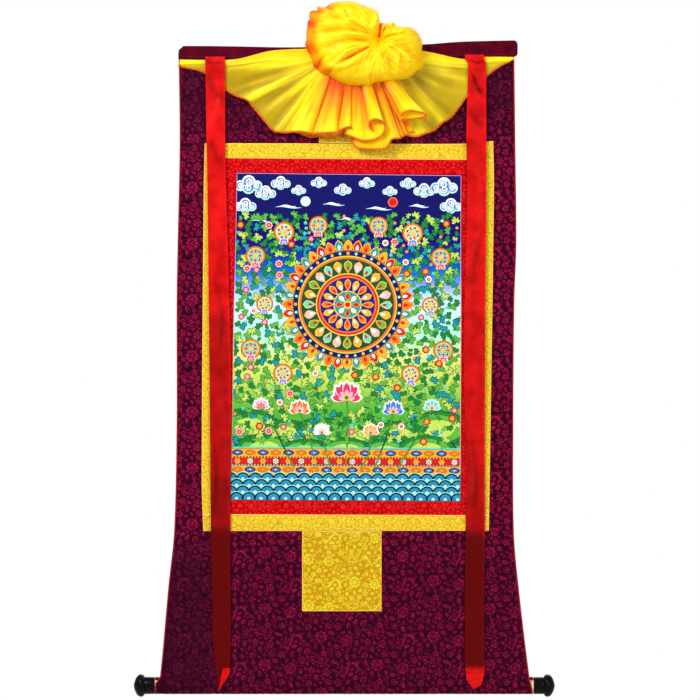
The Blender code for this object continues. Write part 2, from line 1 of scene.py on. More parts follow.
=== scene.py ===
"""Looks of a hanging thangka scroll painting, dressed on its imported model.

Metres, +Z up, +X to the viewer's right and the viewer at -Y. The origin is the middle of the hanging
edge. Tables are in millimetres: x to the right, drop down from the hanging edge, and lift forward from
the cloth's back face. Ornament is drawn flat, in millimetres, and then laid on the hanging cloth.
"""
import json
import logging
import math
from collections.abc import Callable
from dataclasses import dataclass, field
from enum import Enum
from functools import partial

import bmesh
import bpy
import numpy as np
from bpy.types import ID, Material, Mesh, Node, NodeSocket, NodeTree, Object
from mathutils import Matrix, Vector

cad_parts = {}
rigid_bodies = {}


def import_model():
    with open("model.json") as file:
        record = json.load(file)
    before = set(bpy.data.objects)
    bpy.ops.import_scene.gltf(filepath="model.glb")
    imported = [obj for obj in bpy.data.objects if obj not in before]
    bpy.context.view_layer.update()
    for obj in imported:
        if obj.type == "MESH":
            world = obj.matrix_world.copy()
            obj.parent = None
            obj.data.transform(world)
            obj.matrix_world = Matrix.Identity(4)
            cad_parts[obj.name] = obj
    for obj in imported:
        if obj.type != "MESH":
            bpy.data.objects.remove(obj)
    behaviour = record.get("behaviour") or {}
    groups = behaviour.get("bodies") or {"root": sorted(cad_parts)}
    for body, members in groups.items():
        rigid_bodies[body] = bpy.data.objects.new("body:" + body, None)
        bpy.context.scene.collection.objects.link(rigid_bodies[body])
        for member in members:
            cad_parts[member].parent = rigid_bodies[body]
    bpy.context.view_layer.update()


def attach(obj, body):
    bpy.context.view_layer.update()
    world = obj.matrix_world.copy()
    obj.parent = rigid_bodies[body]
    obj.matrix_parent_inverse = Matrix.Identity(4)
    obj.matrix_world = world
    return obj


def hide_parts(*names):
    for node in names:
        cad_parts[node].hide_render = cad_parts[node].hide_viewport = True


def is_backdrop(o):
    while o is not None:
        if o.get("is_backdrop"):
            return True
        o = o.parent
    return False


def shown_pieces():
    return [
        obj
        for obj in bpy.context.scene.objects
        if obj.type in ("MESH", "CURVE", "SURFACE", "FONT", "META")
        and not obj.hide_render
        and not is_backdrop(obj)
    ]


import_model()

LOG = logging.getLogger("scroll")
Array = np.ndarray
MM = 0.001
BODY = "root"
CLOTH_MAP = "cloth"
PAINT = "paint"
SEAM_DISTANCE = "seam"
# The tone attribute: painted shade and highlights, also the damask figure's uneven tone and how thin the silk
# lies
TONE = "tone"

# Seam lines down the cloth, rows of (drop, x), and across it, rows of (x, drop)
EDGE_LEFT = ((20, -337), (195, -335), (392, -339), (512, -341), (752, -341), (969, -346), (1075, -357), (1260,
    -374.4), (1266, -379), (1271, -383), (1278, -384.4), (1325, -384.4), (1360, -384.4))
EDGE_RIGHT = ((20, 333), (195, 335), (392, 337), (512, 333), (752, 331), (969, 332), (1075, 341), (1262,
    363.4), (1278, 367.5), (1302, 371), (1325, 371), (1360, 371))
BINDING_WIDTH = 2.8
DOWN_LINES = {"edge_left": (EDGE_LEFT, 0.0), "ground_left": (EDGE_LEFT, BINDING_WIDTH), "yellow_left": (((195,
    -285), (290, -287), (867, -291), (968, -288)), 0.0), "red_left": (((195, -255), (968, -259)), 0.0),
    "picture_left": (((253, -222), (906, -234)), 0.0), "picture_right": (((258, 228), (909, 226)), 0.0),
    "red_right": (((190, 262), (968, 252)), 0.0), "yellow_right": (((190, 291), (287, 292.4), (867, 283.8),
    (968, 282)), 0.0), "ground_right": (EDGE_RIGHT, -BINDING_WIDTH), "edge_right": (EDGE_RIGHT, 0.0),}
ACROSS_LINES = {"heading_top": ((-337, -0.4), (-230, 1), (-111, 3), (0, 0), (153, -3), (225, -8), (333, -11)),
    "heading_seam": ((-337, 26.5), (333, 21.5)), "yellow_top": ((-287, 194.2), (0, 195), (236, 195.2), (292,
    189.6)), "red_top": ((-255, 224.2), (262, 228)), "picture_top": ((-222, 252.6), (228, 257.8)),
    "picture_bottom": ((-234, 906.2), (226, 909)), "red_bottom": ((-259, 934.8), (252, 936.6)),
    "yellow_bottom": ((-288, 968.4), (282, 967.8)), "wrap_end": ((-400, 1366.3), (400, 1366.3)),}
SEAM_GAP = 0.3
AXIS_DROP = 1277.8
ROLLER_RADIUS = 15.2
WRAP_RADIUS = 15.5
CLOTH_THICKNESS = 1.5

# Soft waves of the whole cloth: forward lift, waves across, waves down, phase in turns
WAVES = ((1.5, 1.15, 1.0, 0.12), (0.7, 2.3, 2.0, 0.43), (0.5, 3.1, 3.0, 0.81))
WAVE_WIDTH = 700
HELD_SHARE = 1 / 7

# Creases: x, drop, half length, half width, tilt from upright in degrees, lift
CREASES = ((-218, 953, 15, 5, -12, 0.7), (-206, 953, 15, 4, -14, -0.8), (-197, 951, 16, 5, -16, 0.8), (-180,
    953, 14, 5, -8, -0.6), (-150, 952, 14, 7, 4, 0.5), (-137, 953, 14, 5, 2, -0.6), (-98, 952, 13, 6, 0, 0.4),
    (-40, 952, 13, 8, 5, 0.4), (10, 953, 13, 6, 0, -0.4), (60, 952, 13, 8, -4, 0.4), (112, 953, 13, 5, 6,
    -0.6), (128, 952, 14, 5, 8, 0.6), (165, 953, 14, 6, 10, -0.5), (196, 952, 15, 5, 12, 0.7), (208, 953, 14,
    4, 14, -0.7), (-315, 430, 60, 9, 6, -0.5), (-312, 640, 80, 8, -4, 0.6), (-318, 850, 70, 9, 5, -0.5), (312,
    330, 60, 8, -5, 0.5), (309, 540, 80, 8, 4, -0.6), (306, 800, 80, 9, -4, 0.6), (-250, 150, 45, 12, 24,
    -0.6), (-180, 165, 30, 9, -20, 0.5), (190, 168, 30, 9, 18, 0.5), (300, 150, 45, 10, -12, -0.6), (-320,
    1040, 90, 12, 12, 0.8), (-300, 1180, 90, 14, 8, -0.7), (-200, 1100, 110, 14, -6, 0.6), (-120, 1210, 60,
    12, 5, -0.6), (20, 1190, 60, 14, -8, 0.5), (130, 1080, 100, 14, 6, -0.6), (200, 1200, 70, 12, -5, 0.6),
    (310, 1110, 120, 13, -9, 0.8), (-60, 1262, 22, 9, 10, 0.4), (90, 1264, 20, 9, -12, 0.4), (-235, 1258, 24,
    9, 8, 0.5), (255, 1262, 20, 8, -8, 0.5), (0, 1168, 40, 30, 80, 0.4),)


def linear(colour: str) -> tuple[float, float, float, float]:
    """The linear colour of an sRGB hex value.

    Args:
        colour: Six hex digits, with or without a hash in front.

    Returns:
        Red, green, blue and an alpha of 1.
    """
    digits = colour.lstrip("#")
    channels = [int(digits[k:k + 2], 16) / 255 for k in (0, 2, 4)]
    return (*[c / 12.92 if c <= 0.04045 else ((c + 0.055) / 1.055) ** 2.4 for c in channels], 1.0)


def ease(t: Array) -> Array:
    """0 to 1 with a soft start and end."""
    t = np.clip(t, 0.0, 1.0)
    return t * t * (3 - 2 * t)


def along(rows: tuple, at: Array) -> Array:
    """Values on a smooth curve through the rows of a table.

    Args:
        rows: Rows of (station, value, ...), with rising stations.
        at: The stations that are asked for.

    Returns:
        One row of values for each station.
    """
    table = np.asarray(rows, float)
    at = np.clip(np.asarray(at, float).ravel(), table[0, 0], table[-1, 0])
    last = len(table) - 1
    k = np.clip(np.searchsorted(table[:, 0], at) - 1, 0, last - 1)
    before, low, high, after = (table[np.clip(k + step, 0, last)] for step in (-1, 0, 1, 2))
    span = high[:, :1] - low[:, :1]
    t = (at[:, None] - low[:, :1]) / span
    slope_in = (high - before) / (high[:, :1] - before[:, :1]) * span
    slope_out = (after - low) / (after[:, :1] - low[:, :1]) * span
    values = ((2 * t**3 - 3 * t**2 + 1) * low + (t**3 - 2 * t**2 + t) * slope_in + (3 * t**2 - 2 * t**3)
        * high + (t**3 - t**2) * slope_out)
    return values[:, 1:]


def seam_x(name: str, drop: Array) -> Array:
    """x of a seam line that runs down the cloth, at drops in millimetres."""
    rows, shift = DOWN_LINES[name]
    return along(rows, drop)[:, 0].reshape(np.shape(drop)) + shift


def seam_drop(name: str, x: Array) -> Array:
    """Drop of a seam line that runs across the cloth, at x in millimetres."""
    return along(ACROSS_LINES[name], x)[:, 0].reshape(np.shape(x))


def forward(x: Array, drop: Array) -> Array:
    """How far the hanging cloth stands forward of a flat plane, with its waves and creases.

    Args:
        x: Places across, in millimetres.
        drop: Places down, in millimetres.

    Returns:
        Lifts in millimetres: nothing at the heading and past the roller's front.
    """
    hang = np.clip(drop / AXIS_DROP, 0.0, 1.0)
    hold = ease(hang / HELD_SHARE) * ease((1 - hang) / HELD_SHARE)
    turn = math.tau * x / WAVE_WIDTH
    lift = sum(rise * np.sin(turn * across + math.tau * phase) * np.sin(math.pi * down * hang + math.tau
        * phase) for rise, across, down, phase in WAVES)
    lift = lift * hold
    near = ease((1 - hang) * AXIS_DROP / 12)
    for cx, cd, length, width, tilt, rise in CREASES:
        angle = math.radians(tilt)
        dx, dd = x - cx, drop - cd
        down = (dd * math.cos(angle) + dx * math.sin(angle)) / length
        side = (dx * math.cos(angle) - dd * math.sin(angle)) / width
        lift = lift + near * rise * np.exp(-down**4 - side**2)
    return lift


def on_cloth(x: Array, drop: Array, lift: Array) -> Array:
    """Points in front of the hanging cloth's back face, and past the roller's front round the roller.

    Args:
        x: Places across, in millimetres.
        drop: Places down along the cloth, in millimetres.
        lift: Distances in front of the back face, in millimetres.

    Returns:
        Points in metres, one row each.
    """
    x, drop, lift = np.broadcast_arrays(*(np.asarray(v, float) for v in (x, drop, lift)))
    turn = np.maximum(drop - AXIS_DROP, 0.0) / (WRAP_RADIUS + CLOTH_THICKNESS / 2)
    reach = WRAP_RADIUS + lift
    hanging = drop <= AXIS_DROP
    y = np.where(hanging, -forward(x, drop) - lift, WRAP_RADIUS - reach * np.cos(turn))
    z = np.where(hanging, -drop, -AXIS_DROP - reach * np.sin(turn))
    return np.stack([x, y, z], axis=-1).reshape(-1, 3) * MM


# Meshes


def grid_faces(rows: int, columns: int, start: int = 0) -> Array:
    """Four corners for each face of a grid, seen from the viewer's side.

    Args:
        rows: How many rows of points.
        columns: How many in each row.

    Returns:
        One row for each face.
    """
    r, c = np.meshgrid(np.arange(rows - 1), np.arange(columns - 1), indexing="ij")
    a = start + (r * columns + c).ravel()
    return np.stack([a, a + columns, a + columns + 1, a + 1], axis=1)


def closed_sheet(front: Array, back: Array) -> tuple[Array, Array]:
    """A closed sheet between two grids of points that match.

    Args:
        front: Points of the side towards the viewer, as rows by columns by 3.
        back: Points of the far side.

    Returns:
        The points, and four corners for each face.
    """
    rows, columns = front.shape[:2]
    many = rows * columns
    near = grid_faces(rows, columns)
    c, r = np.arange(columns - 1), np.arange(rows - 1) * columns
    low, right = (rows - 1) * columns, r + columns - 1
    rims = ((c, c + 1), (low + c + 1, low + c), (r + columns, r), (right, right + columns))
    rims = [np.stack([a, b, b + many, a + many], axis=1) for a, b in rims]
    points = np.concatenate([front.reshape(-1, 3), back.reshape(-1, 3)])
    return points, np.concatenate([near, near[:, ::-1] + many, *rims])


def normals_of(middle: Array) -> Array:
    """Unit normals towards the viewer, for a grid of points.

    Args:
        middle: Points as rows by columns by 3.

    Returns:
        The normals, in the same form.
    """
    def slope(line: Array, axis: int) -> Array:
        """Mean of the unit directions before and after each point."""
        step = np.diff(line, axis=axis)
        step /= np.maximum(np.linalg.norm(step, axis=2, keepdims=True), 1e-12)
        first, last = [np.take(step, [k], axis=axis) for k in (0, -1)]
        return np.concatenate([first, step], axis=axis) + np.concatenate([step, last], axis=axis)
    normal = np.cross(slope(middle, 0), slope(middle, 1))
    return normal / np.maximum(np.linalg.norm(normal, axis=2, keepdims=True), 1e-12)


def thicken(middle: Array, thickness: float) -> tuple[Array, Array]:
    """A closed sheet of one thickness, in metres, round a grid of points on its middle."""
    away = normals_of(middle) * thickness / 2
    return closed_sheet(middle + away, middle - away)


def tube_faces(rings: int, around: int) -> Array:
    """Four corners for each face of a tube of rings of points.

    Args:
        rings: How many rings.
        around: How many points in each.

    Returns:
        One row for each face.
    """
    r, k = np.divmod(np.arange((rings - 1) * around), around)
    a, b = r * around + k, r * around + (k + 1) % around
    return np.stack([a, b, b + around, a + around], axis=1)


def put_in(name: str, data: ID) -> Object:
    """An object for a mesh, lamp or camera, linked to the scene.

    Args:
        name: Its name.
        data: What it shows.

    Returns:
        The object.
    """
    made = bpy.data.objects.new(name, data)
    bpy.context.scene.collection.objects.link(made)
    return made


def plain_mesh(name: str, points: list | Array, faces: list = (), edges: list = ()) -> Mesh:
    """A mesh of points and their faces or edges."""
    made = bpy.data.meshes.new(name)
    made.from_pydata(np.asarray(points, float).tolist(), edges, faces)
    return made


def points_of(mesh: Mesh) -> Array:
    """A mesh's points, one row each."""
    numbers = np.zeros(len(mesh.vertices) * 3, np.float32)
    mesh.vertices.foreach_get("co", numbers)
    return numbers.reshape(-1, 3).astype(float)


def store(mesh: Mesh, name: str, form: str, numbers: list | Array) -> None:
    """Keeps a number on each point of a mesh, or a colour in the form FLOAT_COLOR."""
    kind, key = (np.int32 if form == "INT" else np.float32), ("color" if form == "FLOAT_COLOR" else "value")
    mesh.attributes.new(name, form, "POINT").data.foreach_set(key, np.asarray(numbers, kind).ravel())


def make_object(name: str, points: Array, faces: list | Array, finish: "Finish", flat: Array | None = None,
        values: dict | None = None, smooth: bool = True, sharp: float = 50.0) -> Object:
    """Makes one mesh object at the origin.

    Args:
        name: The piece's name.
        points: Its points, in metres.
        faces: The corners of each face.
        finish: What it is finished with.
        flat: The place of each point on the flat cloth, in metres, for the cloth map.
        values: Numbers for each point, by attribute name.
        smooth: Whether faces are shaded smooth.
        sharp: Edges that turn more than this many degrees stay sharp.

    Returns:
        The object, linked to the scene.
    """
    mesh = plain_mesh(name, points, faces.tolist() if isinstance(faces, Array) else faces)
    mesh.materials.append(finish.material())
    if flat is not None:
        corner = np.zeros(len(mesh.loops), np.int32)
        mesh.loops.foreach_get("vertex_index", corner)
        layer = mesh.uv_layers.new(name=CLOTH_MAP)
        layer.data.foreach_set("uv", np.asarray(flat, np.float32)[corner].ravel())
    for key, numbers in (values or {}).items():
        store(mesh, key, "FLOAT", numbers)
    if smooth:
        mesh.shade_smooth()
        mesh.set_sharp_from_angle(angle=math.radians(sharp))
    mesh.validate()
    return put_in(name, mesh)


def adopt(piece: Object, slot: str, *nodes: str) -> Object:
    """Lets a piece ride on the model's body, and stands it in for its CAD nodes.

    Args:
        piece: The piece.
        slot: Not used.
        *nodes: The CAD nodes that it stands for.

    Returns:
        The piece.
    """
    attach(piece, BODY)
    if nodes:
        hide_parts(*nodes)
    LOG.info("%s: %d faces", piece.name, len(piece.data.polygons))
    return piece


# Node trees


def add_node(tree: NodeTree, kind: str, sockets: dict | None = None, **settings) -> Node:
    """Adds a node with its settings, values and links.

    Args:
        tree: The tree that it goes into.
        kind: The node's type; that of a shader node goes without its first two words.
        sockets: What goes into its inputs, by name or number: a value, or a socket or node to link.
        **settings: Properties of the node.

    Returns:
        The node.
    """
    made = tree.nodes.new(kind if "Node" in kind else "ShaderNode" + kind)
    for key, value in settings.items():
        setattr(made, key, value)
    for key, value in (sockets or {}).items():
        value = value.outputs[0] if isinstance(value, Node) else value
        if isinstance(value, NodeSocket):
            tree.links.new(value, made.inputs[key])
        else:
            made.inputs[key].default_value = value
    return made


class Recipe:
    """A Geometry Nodes tree with named inputs, run on a base mesh and turned into a plain mesh."""

    def __init__(self, name: str, **inputs: str) -> None:
        """Starts a tree.

        Args:
            name: The tree's name.
            **inputs: The kind of each input socket, by its label.
        """
        self.tree = bpy.data.node_groups.new(name, "GeometryNodeTree")
        self.node = partial(add_node, self.tree)
        new_socket = self.tree.interface.new_socket
        new_socket("Geometry", in_out="INPUT", socket_type="NodeSocketGeometry")
        self.keys = {label: new_socket(label, in_out="INPUT", socket_type="NodeSocket" + kind).identifier
            for label, kind in inputs.items()}
        new_socket("Geometry", in_out="OUTPUT", socket_type="NodeSocketGeometry")
        self.given = self.node("NodeGroupInput").outputs

    def finish(self, geometry: Node) -> "Recipe":
        """Ends the tree: instances made real, then one material set on them.

        Args:
            geometry: The last node.

        Returns:
            The recipe itself.
        """
        real = self.node("GeometryNodeRealizeInstances", {0: geometry})
        dressed = self.node("GeometryNodeSetMaterial", {0: real, "Material": self.given["Finish"]})
        self.node("NodeGroupOutput", {0: dressed})
        return self

    def run(self, base: Mesh, **values) -> Mesh:
        """Runs the tree on a mesh.

        Args:
            base: The mesh that goes in, which is removed.
            **values: The inputs, by their labels.

        Returns:
            The result as a plain mesh.
        """
        carrier = put_in(self.tree.name, base)
        modifier = carrier.modifiers.new(self.tree.name, "NODES")
        modifier.node_group = self.tree
        for label, value in values.items():
            modifier[self.keys[label]] = value
        seen = carrier.evaluated_get(bpy.context.evaluated_depsgraph_get())
        mesh = bpy.data.meshes.new_from_object(seen)
        bpy.data.objects.remove(carrier)
        bpy.data.meshes.remove(base)
        return mesh


def repeat_recipe() -> Recipe:
    """Lays one drawn repeat in columns and rows, every other column dropped by half a repeat.

    Returns:
        The tree.
    """
    recipe = Recipe("woven_repeat", Repeat="Object", Pitch="Float", Columns="Int", Rows="Int",
        Finish="Material")
    node, given = recipe.node, recipe.given
    spans = [node("Math", {0: given[count], 1: 1.0}, operation="SUBTRACT") for count in ("Columns", "Rows")]
    sides = [node("Math", {0: span, 1: given["Pitch"]}, operation="MULTIPLY") for span in spans]
    lattice = node("GeometryNodeMeshGrid", {"Size X": sides[0], "Size Y": sides[1],
        "Vertices X": given["Columns"], "Vertices Y": given["Rows"]})
    column = node("Math", {0: node("GeometryNodeInputIndex"), 1: given["Rows"]}, operation="DIVIDE")
    whole = node("Math", {0: column}, operation="FLOOR")
    odd = node("Math", {0: whole, 1: 2.0}, operation="MODULO")
    half = node("Math", {0: given["Pitch"], 1: 0.5}, operation="MULTIPLY")
    fall = node("Math", {0: odd, 1: half}, operation="MULTIPLY")
    shift = node("CombineXYZ", {1: fall})
    dropped = node("GeometryNodeSetPosition", {0: lattice, "Offset": shift})
    drawn = node("GeometryNodeObjectInfo", {0: given["Repeat"]}, transform_space="ORIGINAL")
    return recipe.finish(node("GeometryNodeInstanceOnPoints", {0: dropped,
        "Instance": drawn.outputs["Geometry"]}))


def scatter_recipe() -> Recipe:
    """Sets motifs on points, each picked, turned and sized by the point's own numbers.

    Returns:
        The tree.
    """
    recipe = Recipe("painted_motifs", Motifs="Collection", Finish="Material")
    node = recipe.node
    motifs = node("GeometryNodeCollectionInfo", {0: recipe.given["Motifs"], 1: True, 2: True})
    kind, turn, size = (node("GeometryNodeInputNamedAttribute", {0: label}, data_type=form) for label,
        form in (("kind", "INT"), ("turn", "FLOAT"), ("size", "FLOAT")))
    angle = node("CombineXYZ", {2: turn})
    flat = node("CombineXYZ", {0: size, 1: size, 2: 1.0})
    return recipe.finish(node("GeometryNodeInstanceOnPoints", {0: recipe.given["Geometry"],
        "Instance": motifs, "Pick Instance": True, "Instance Index": kind, "Rotation": angle, "Scale": flat}))


def stitch_recipe() -> Recipe:
    """Sets one stitch after another along lines, each turned to run with its line.

    Returns:
        The tree.
    """
    recipe = Recipe("sewn_stitches", Stitch="Object", Pitch="Float", Finish="Material")
    node, given = recipe.node, recipe.given
    line = node("GeometryNodeMeshToCurve", {0: given["Geometry"]})
    spaced = node("GeometryNodeResampleCurve", {0: line, "Length": given["Pitch"]}, mode="LENGTH")
    runs = node("FunctionNodeAlignRotationToVector", {"Vector": node("GeometryNodeInputTangent")}, axis="X")
    thread = node("GeometryNodeObjectInfo", {0: given["Stitch"]}, transform_space="ORIGINAL")
    return recipe.finish(node("GeometryNodeInstanceOnPoints", {0: spaced,
        "Instance": thread.outputs["Geometry"], "Rotation": runs}))


# Finishes


class Finish:
    """What the finishes share: one material each, made when it is first asked for."""

    name: str

    def shader(self, node: Callable[..., Node]) -> Node:
        """The finish's own nodes up to its shader, each added by the given call."""
        raise NotImplementedError

    def material(self) -> Material:
        """The finish's material.

        Returns:
            The material, made by the first call.
        """
        made = bpy.data.materials.get(self.name)
        if made is None:
            made = bpy.data.materials.new(self.name)
            made.use_nodes = True
            made.node_tree.nodes.clear()
            node = partial(add_node, made.node_tree)
            node("OutputMaterial", {0: self.shader(node)})
        return made


@dataclass(frozen=True)
class ClothFinish(Finish):
    """A woven cloth: threads that cross, an uneven dye, a painted highlight along a turned edge where it has
    one, and painted shade mixed in by the tone attribute where it has a shade colour.

    The threads of the real one lie 0.2 to 0.4 mm apart, too fine for the picture, so they are drawn
    about three times as coarse.
    """

    name: str
    light: str
    dark: str
    thread: float = 0.9
    relief: float = 0.25
    mottle: float = 26.0
    roughness: float = 0.6
    specular: float = 0.3
    # edge is the colour of a painted highlight along a turned edge, and shade the colour of painted shade,
    # mixed in by the tone attribute
    edge: str = ""
    edge_width: float = 1.5
    shade: str = ""

    def shader(self, node: Callable[..., Node]) -> Node:
        """Crossed threads in relief under the uneven dye, with painted highlights on turned edges and painted
        shade where the finish has them.

        Args:
            node: Adds a node to the material.

        Returns:
            The shader.
        """
        flat = node("SeparateXYZ", {0: node("UVMap", uv_map=CLOTH_MAP)})
        counts = [node("Math", {0: flat.outputs[axis], 1: math.tau / (self.thread * MM)},
            operation="MULTIPLY") for axis in (0, 1)]
        warp, weft = (node("Math", {0: count}, operation="SINE") for count in counts)
        weave = node("Math", {0: warp, 1: weft}, operation="MULTIPLY")
        place = node("TexCoord").outputs["Object"]
        dye = node("TexNoise", {"Vector": place, "Scale": 1 / (self.mottle * MM), "Detail": 4.0,
            "Roughness": 0.6})
        spread = node("MapRange", {"Value": dye, "From Min": 0.3, "From Max": 0.7})
        colour = node("Mix", {0: spread, 6: linear(self.light), 7: linear(self.dark)},
            data_type="RGBA").outputs[2]
        # Painted highlight along a turned edge, within edge_width of the seam
        if self.edge:
            near = node("Attribute", attribute_name=SEAM_DISTANCE).outputs["Fac"]
            lit = node("MapRange", {"Value": near, "From Min": self.edge_width, "From Max": self.edge_width
                * 0.6})
            colour = node("Mix", {0: lit, 6: colour, 7: linear(self.edge)}, data_type="RGBA").outputs[2]
        # Painted shade: the shade colour, mixed in by the tone attribute
        if self.shade:
            deep = node("Attribute", attribute_name=TONE).outputs["Fac"]
            colour = node("Mix", {0: deep, 6: colour, 7: linear(self.shade)}, data_type="RGBA").outputs[2]
        bump = node("Bump", {"Height": weave, "Strength": self.relief, "Distance": 0.2 * MM})
        return node("BsdfPrincipled", {"Base Color": colour, "Roughness": self.roughness, "Normal": bump,
            "Specular IOR Level": self.specular})


@dataclass(frozen=True)
class PaintFinish(Finish):
    """Mineral colours bound in hide glue on primed cotton: matt, opaque, a little uneven in the brush."""

    name: str = "mineral_paint_on_cotton"
    grain: float = 0.8
    roughness: float = 0.7

    def shader(self, node: Callable[..., Node]) -> Node:
        """Each point's own paint, laid thick and thin.

        Args:
            node: Adds a node to the material.

        Returns:
            The shader.
        """
        paint = node("Attribute", attribute_name=PAINT).outputs["Color"]
        place = node("TexCoord").outputs["Object"]
        brush = node("TexNoise", {"Vector": place, "Scale": 260.0, "Detail": 3.0})
        worn = node("MapRange", {"Value": brush, "From Min": 0.3, "From Max": 0.7, "To Min": 0.82,
            "To Max": 1.12})
        colour = node("Mix", {0: 1.0, 6: paint, 7: worn}, data_type="RGBA", blend_type="MULTIPLY")
        weave = node("TexNoise", {"Vector": place, "Scale": 1 / (self.grain * MM), "Detail": 2.0})
        bump = node("Bump", {"Height": weave, "Strength": 0.25, "Distance": 0.1 * MM})
        return node("BsdfPrincipled", {"Base Color": colour.outputs[2], "Roughness": self.roughness,
            "Normal": bump, "Specular IOR Level": 0.08})


@dataclass(frozen=True)
class SilkFinish(Finish):
    """Thin raw silk: warm yellow where folds lie close, olive where one layer lets the cloth behind show.
    Its tone also holds painted light: lemon painted highlights on ridges, amber to orange painted shade in
    valleys and under the gathers.

    Its sheen is soft and its threads catch the light along the folds.
    """

    name: str = "sheer_yellow_silk"
    # Colours by tone: olive where one layer is thin, lemon as painted highlight, amber and orange as painted
    # shade
    tones: tuple = ((0.0, "b89a00"), (0.24, "dcc018"), (0.42, "fff020"), (0.54, "ffdc00"), (0.78, "fca400"),
        (1.0, "e85000"))
    roughness: float = 0.45
    sheerness: float = 0.3
    glow: float = 0.35

    def shader(self, node: Callable[..., Node]) -> Node:
        """The silk's tone, with its painted highlights and shade, as colour, with light through it, and clear
        where it is thin.

        Args:
            node: Adds a node to the material.

        Returns:
            The shader.
        """
        tone = node("Attribute", attribute_name=TONE).outputs["Fac"]
        place = node("TexCoord").outputs["Object"]
        uneven = node("TexNoise", {"Vector": place, "Scale": 22.0, "Detail": 3.0})
        sway = node("MapRange", {"Value": uneven, "To Min": -0.16, "To Max": 0.16})
        ramp = node("ValToRGB", {0: node("Math", {0: tone, 1: sway}, operation="ADD")})
        stops = ramp.color_ramp.elements
        while len(stops) < len(self.tones):
            stops.new(0.5)
        for stop, (spot, colour) in zip(stops, self.tones):
            stop.position, stop.color = spot, linear(colour)
        threads = node("TexNoise", {"Vector": place, "Scale": 900.0, "Detail": 1.0})
        bump = node("Bump", {"Height": threads, "Strength": 0.12, "Distance": 0.2 * MM})
        shader = node("BsdfPrincipled", {"Base Color": ramp, "Roughness": self.roughness, "Normal": bump,
            "Sheen Weight": 0.04, "Sheen Roughness": 0.35, "Specular IOR Level": 0.22})
        through = node("BsdfTranslucent", {"Color": ramp})
        lit = node("MixShader", {0: self.glow, 1: shader, 2: through})
        clear = node("BsdfTransparent", {"Color": linear("fff3b0")})
        thin = node("MapRange", {"Value": tone, "From Min": 0.1, "From Max": 0.4, "To Min": self.sheerness,
            "To Max": 0.0})
        return node("MixShader", {0: thin, 1: lit, 2: clear})


@dataclass(frozen=True)
class TurnedFinish(Finish):
    """Turned wood, bare or lacquered: rings and long grain under its own gloss."""

    name: str
    light: str
    dark: str
    roughness: float
    coat: float = 0.0
    specular: float = 0.5
    grain: float = 1.4

    def shader(self, node: Callable[..., Node]) -> Node:
        """The rings as colour, relief and an uneven gloss.

        Args:
            node: Adds a node to the material.

        Returns:
            The shader.
        """
        place = node("TexCoord").outputs["Object"]
        long = node("Mapping", {"Vector": place, "Scale": (0.08, 1.0, 1.0)})
        rings = node("TexNoise", {"Vector": long, "Scale": 1 / (self.grain * MM) / 2, "Detail": 5.0,
            "Roughness": 0.65})
        colour = node("Mix", {0: rings, 6: linear(self.light), 7: linear(self.dark)},
            data_type="RGBA").outputs[2]
        rough = node("MapRange", {"Value": rings, "To Min": self.roughness * 0.8, "To Max": self.roughness
            * 1.3})
        bump = node("Bump", {"Height": rings, "Strength": 0.15, "Distance": 0.15 * MM})
        return node("BsdfPrincipled", {"Base Color": colour, "Roughness": rough, "Normal": bump,
            "Coat Weight": self.coat, "Coat Roughness": 0.08, "Specular IOR Level": self.specular})


# Satin damask: the ground is dull warp, the figure is long weft floats that catch a little light
DAMASK_GROUND = ClothFinish("damask_ground_maroon", "420220", "0c0006", roughness=0.85, mottle=5.0,
    specular=0.04)
# Its shade colour is painted shade at the top under the veil, towards the lower left and along the bottom,
# mixed in by tone with each motif's own uneven tone
DAMASK_FIGURE = ClothFinish("damask_figure_magenta", "a80644", "6e0428", thread=0.7, mottle=9.0,
    roughness=0.6, specular=0.06, shade="420224")
# Plain cotton: flat, even and dull
HEADING_COTTON = ClothFinish("plain_cotton_maroon", "560018", "360010", relief=0.05, roughness=0.85,
    mottle=16.0, specular=0.05)
BINDING_TAPE = ClothFinish("bias_tape_red", "9c0618", "6a0410", roughness=0.7, specular=0.2)
# Silk brocade: golden floats stand out of a deeper ground, and the turned edges catch the light
# The ground's edge colours are painted highlights along the turned edges
YELLOW_GROUND = ClothFinish("brocade_ground_yellow", "e4c020", "a88010", roughness=0.7, mottle=3.6,
    specular=0.1, edge="ffd470")
YELLOW_FIGURE = ClothFinish("brocade_figure_yellow", "ecd840", "dcb82a", thread=0.7, roughness=0.6,
    mottle=9.0, specular=0.15)
PATCH_GROUND = ClothFinish("brocade_ground_gold", "c49508", "aa7a04", roughness=0.7, mottle=9.0, specular=0.1,
    edge="f8cc60")
PATCH_FIGURE = ClothFinish("brocade_figure_gold", "dad22c", "caae18", thread=0.7, mottle=9.0, roughness=0.6,
    specular=0.15)
RED_GROUND = ClothFinish("brocade_ground_red", "bc0004", "940002", roughness=0.8, mottle=9.0, specular=0.05)
RED_FIGURE = ClothFinish("brocade_figure_red", "e6262c", "cc0c12", thread=0.7, mottle=9.0, roughness=0.7,
    specular=0.1)
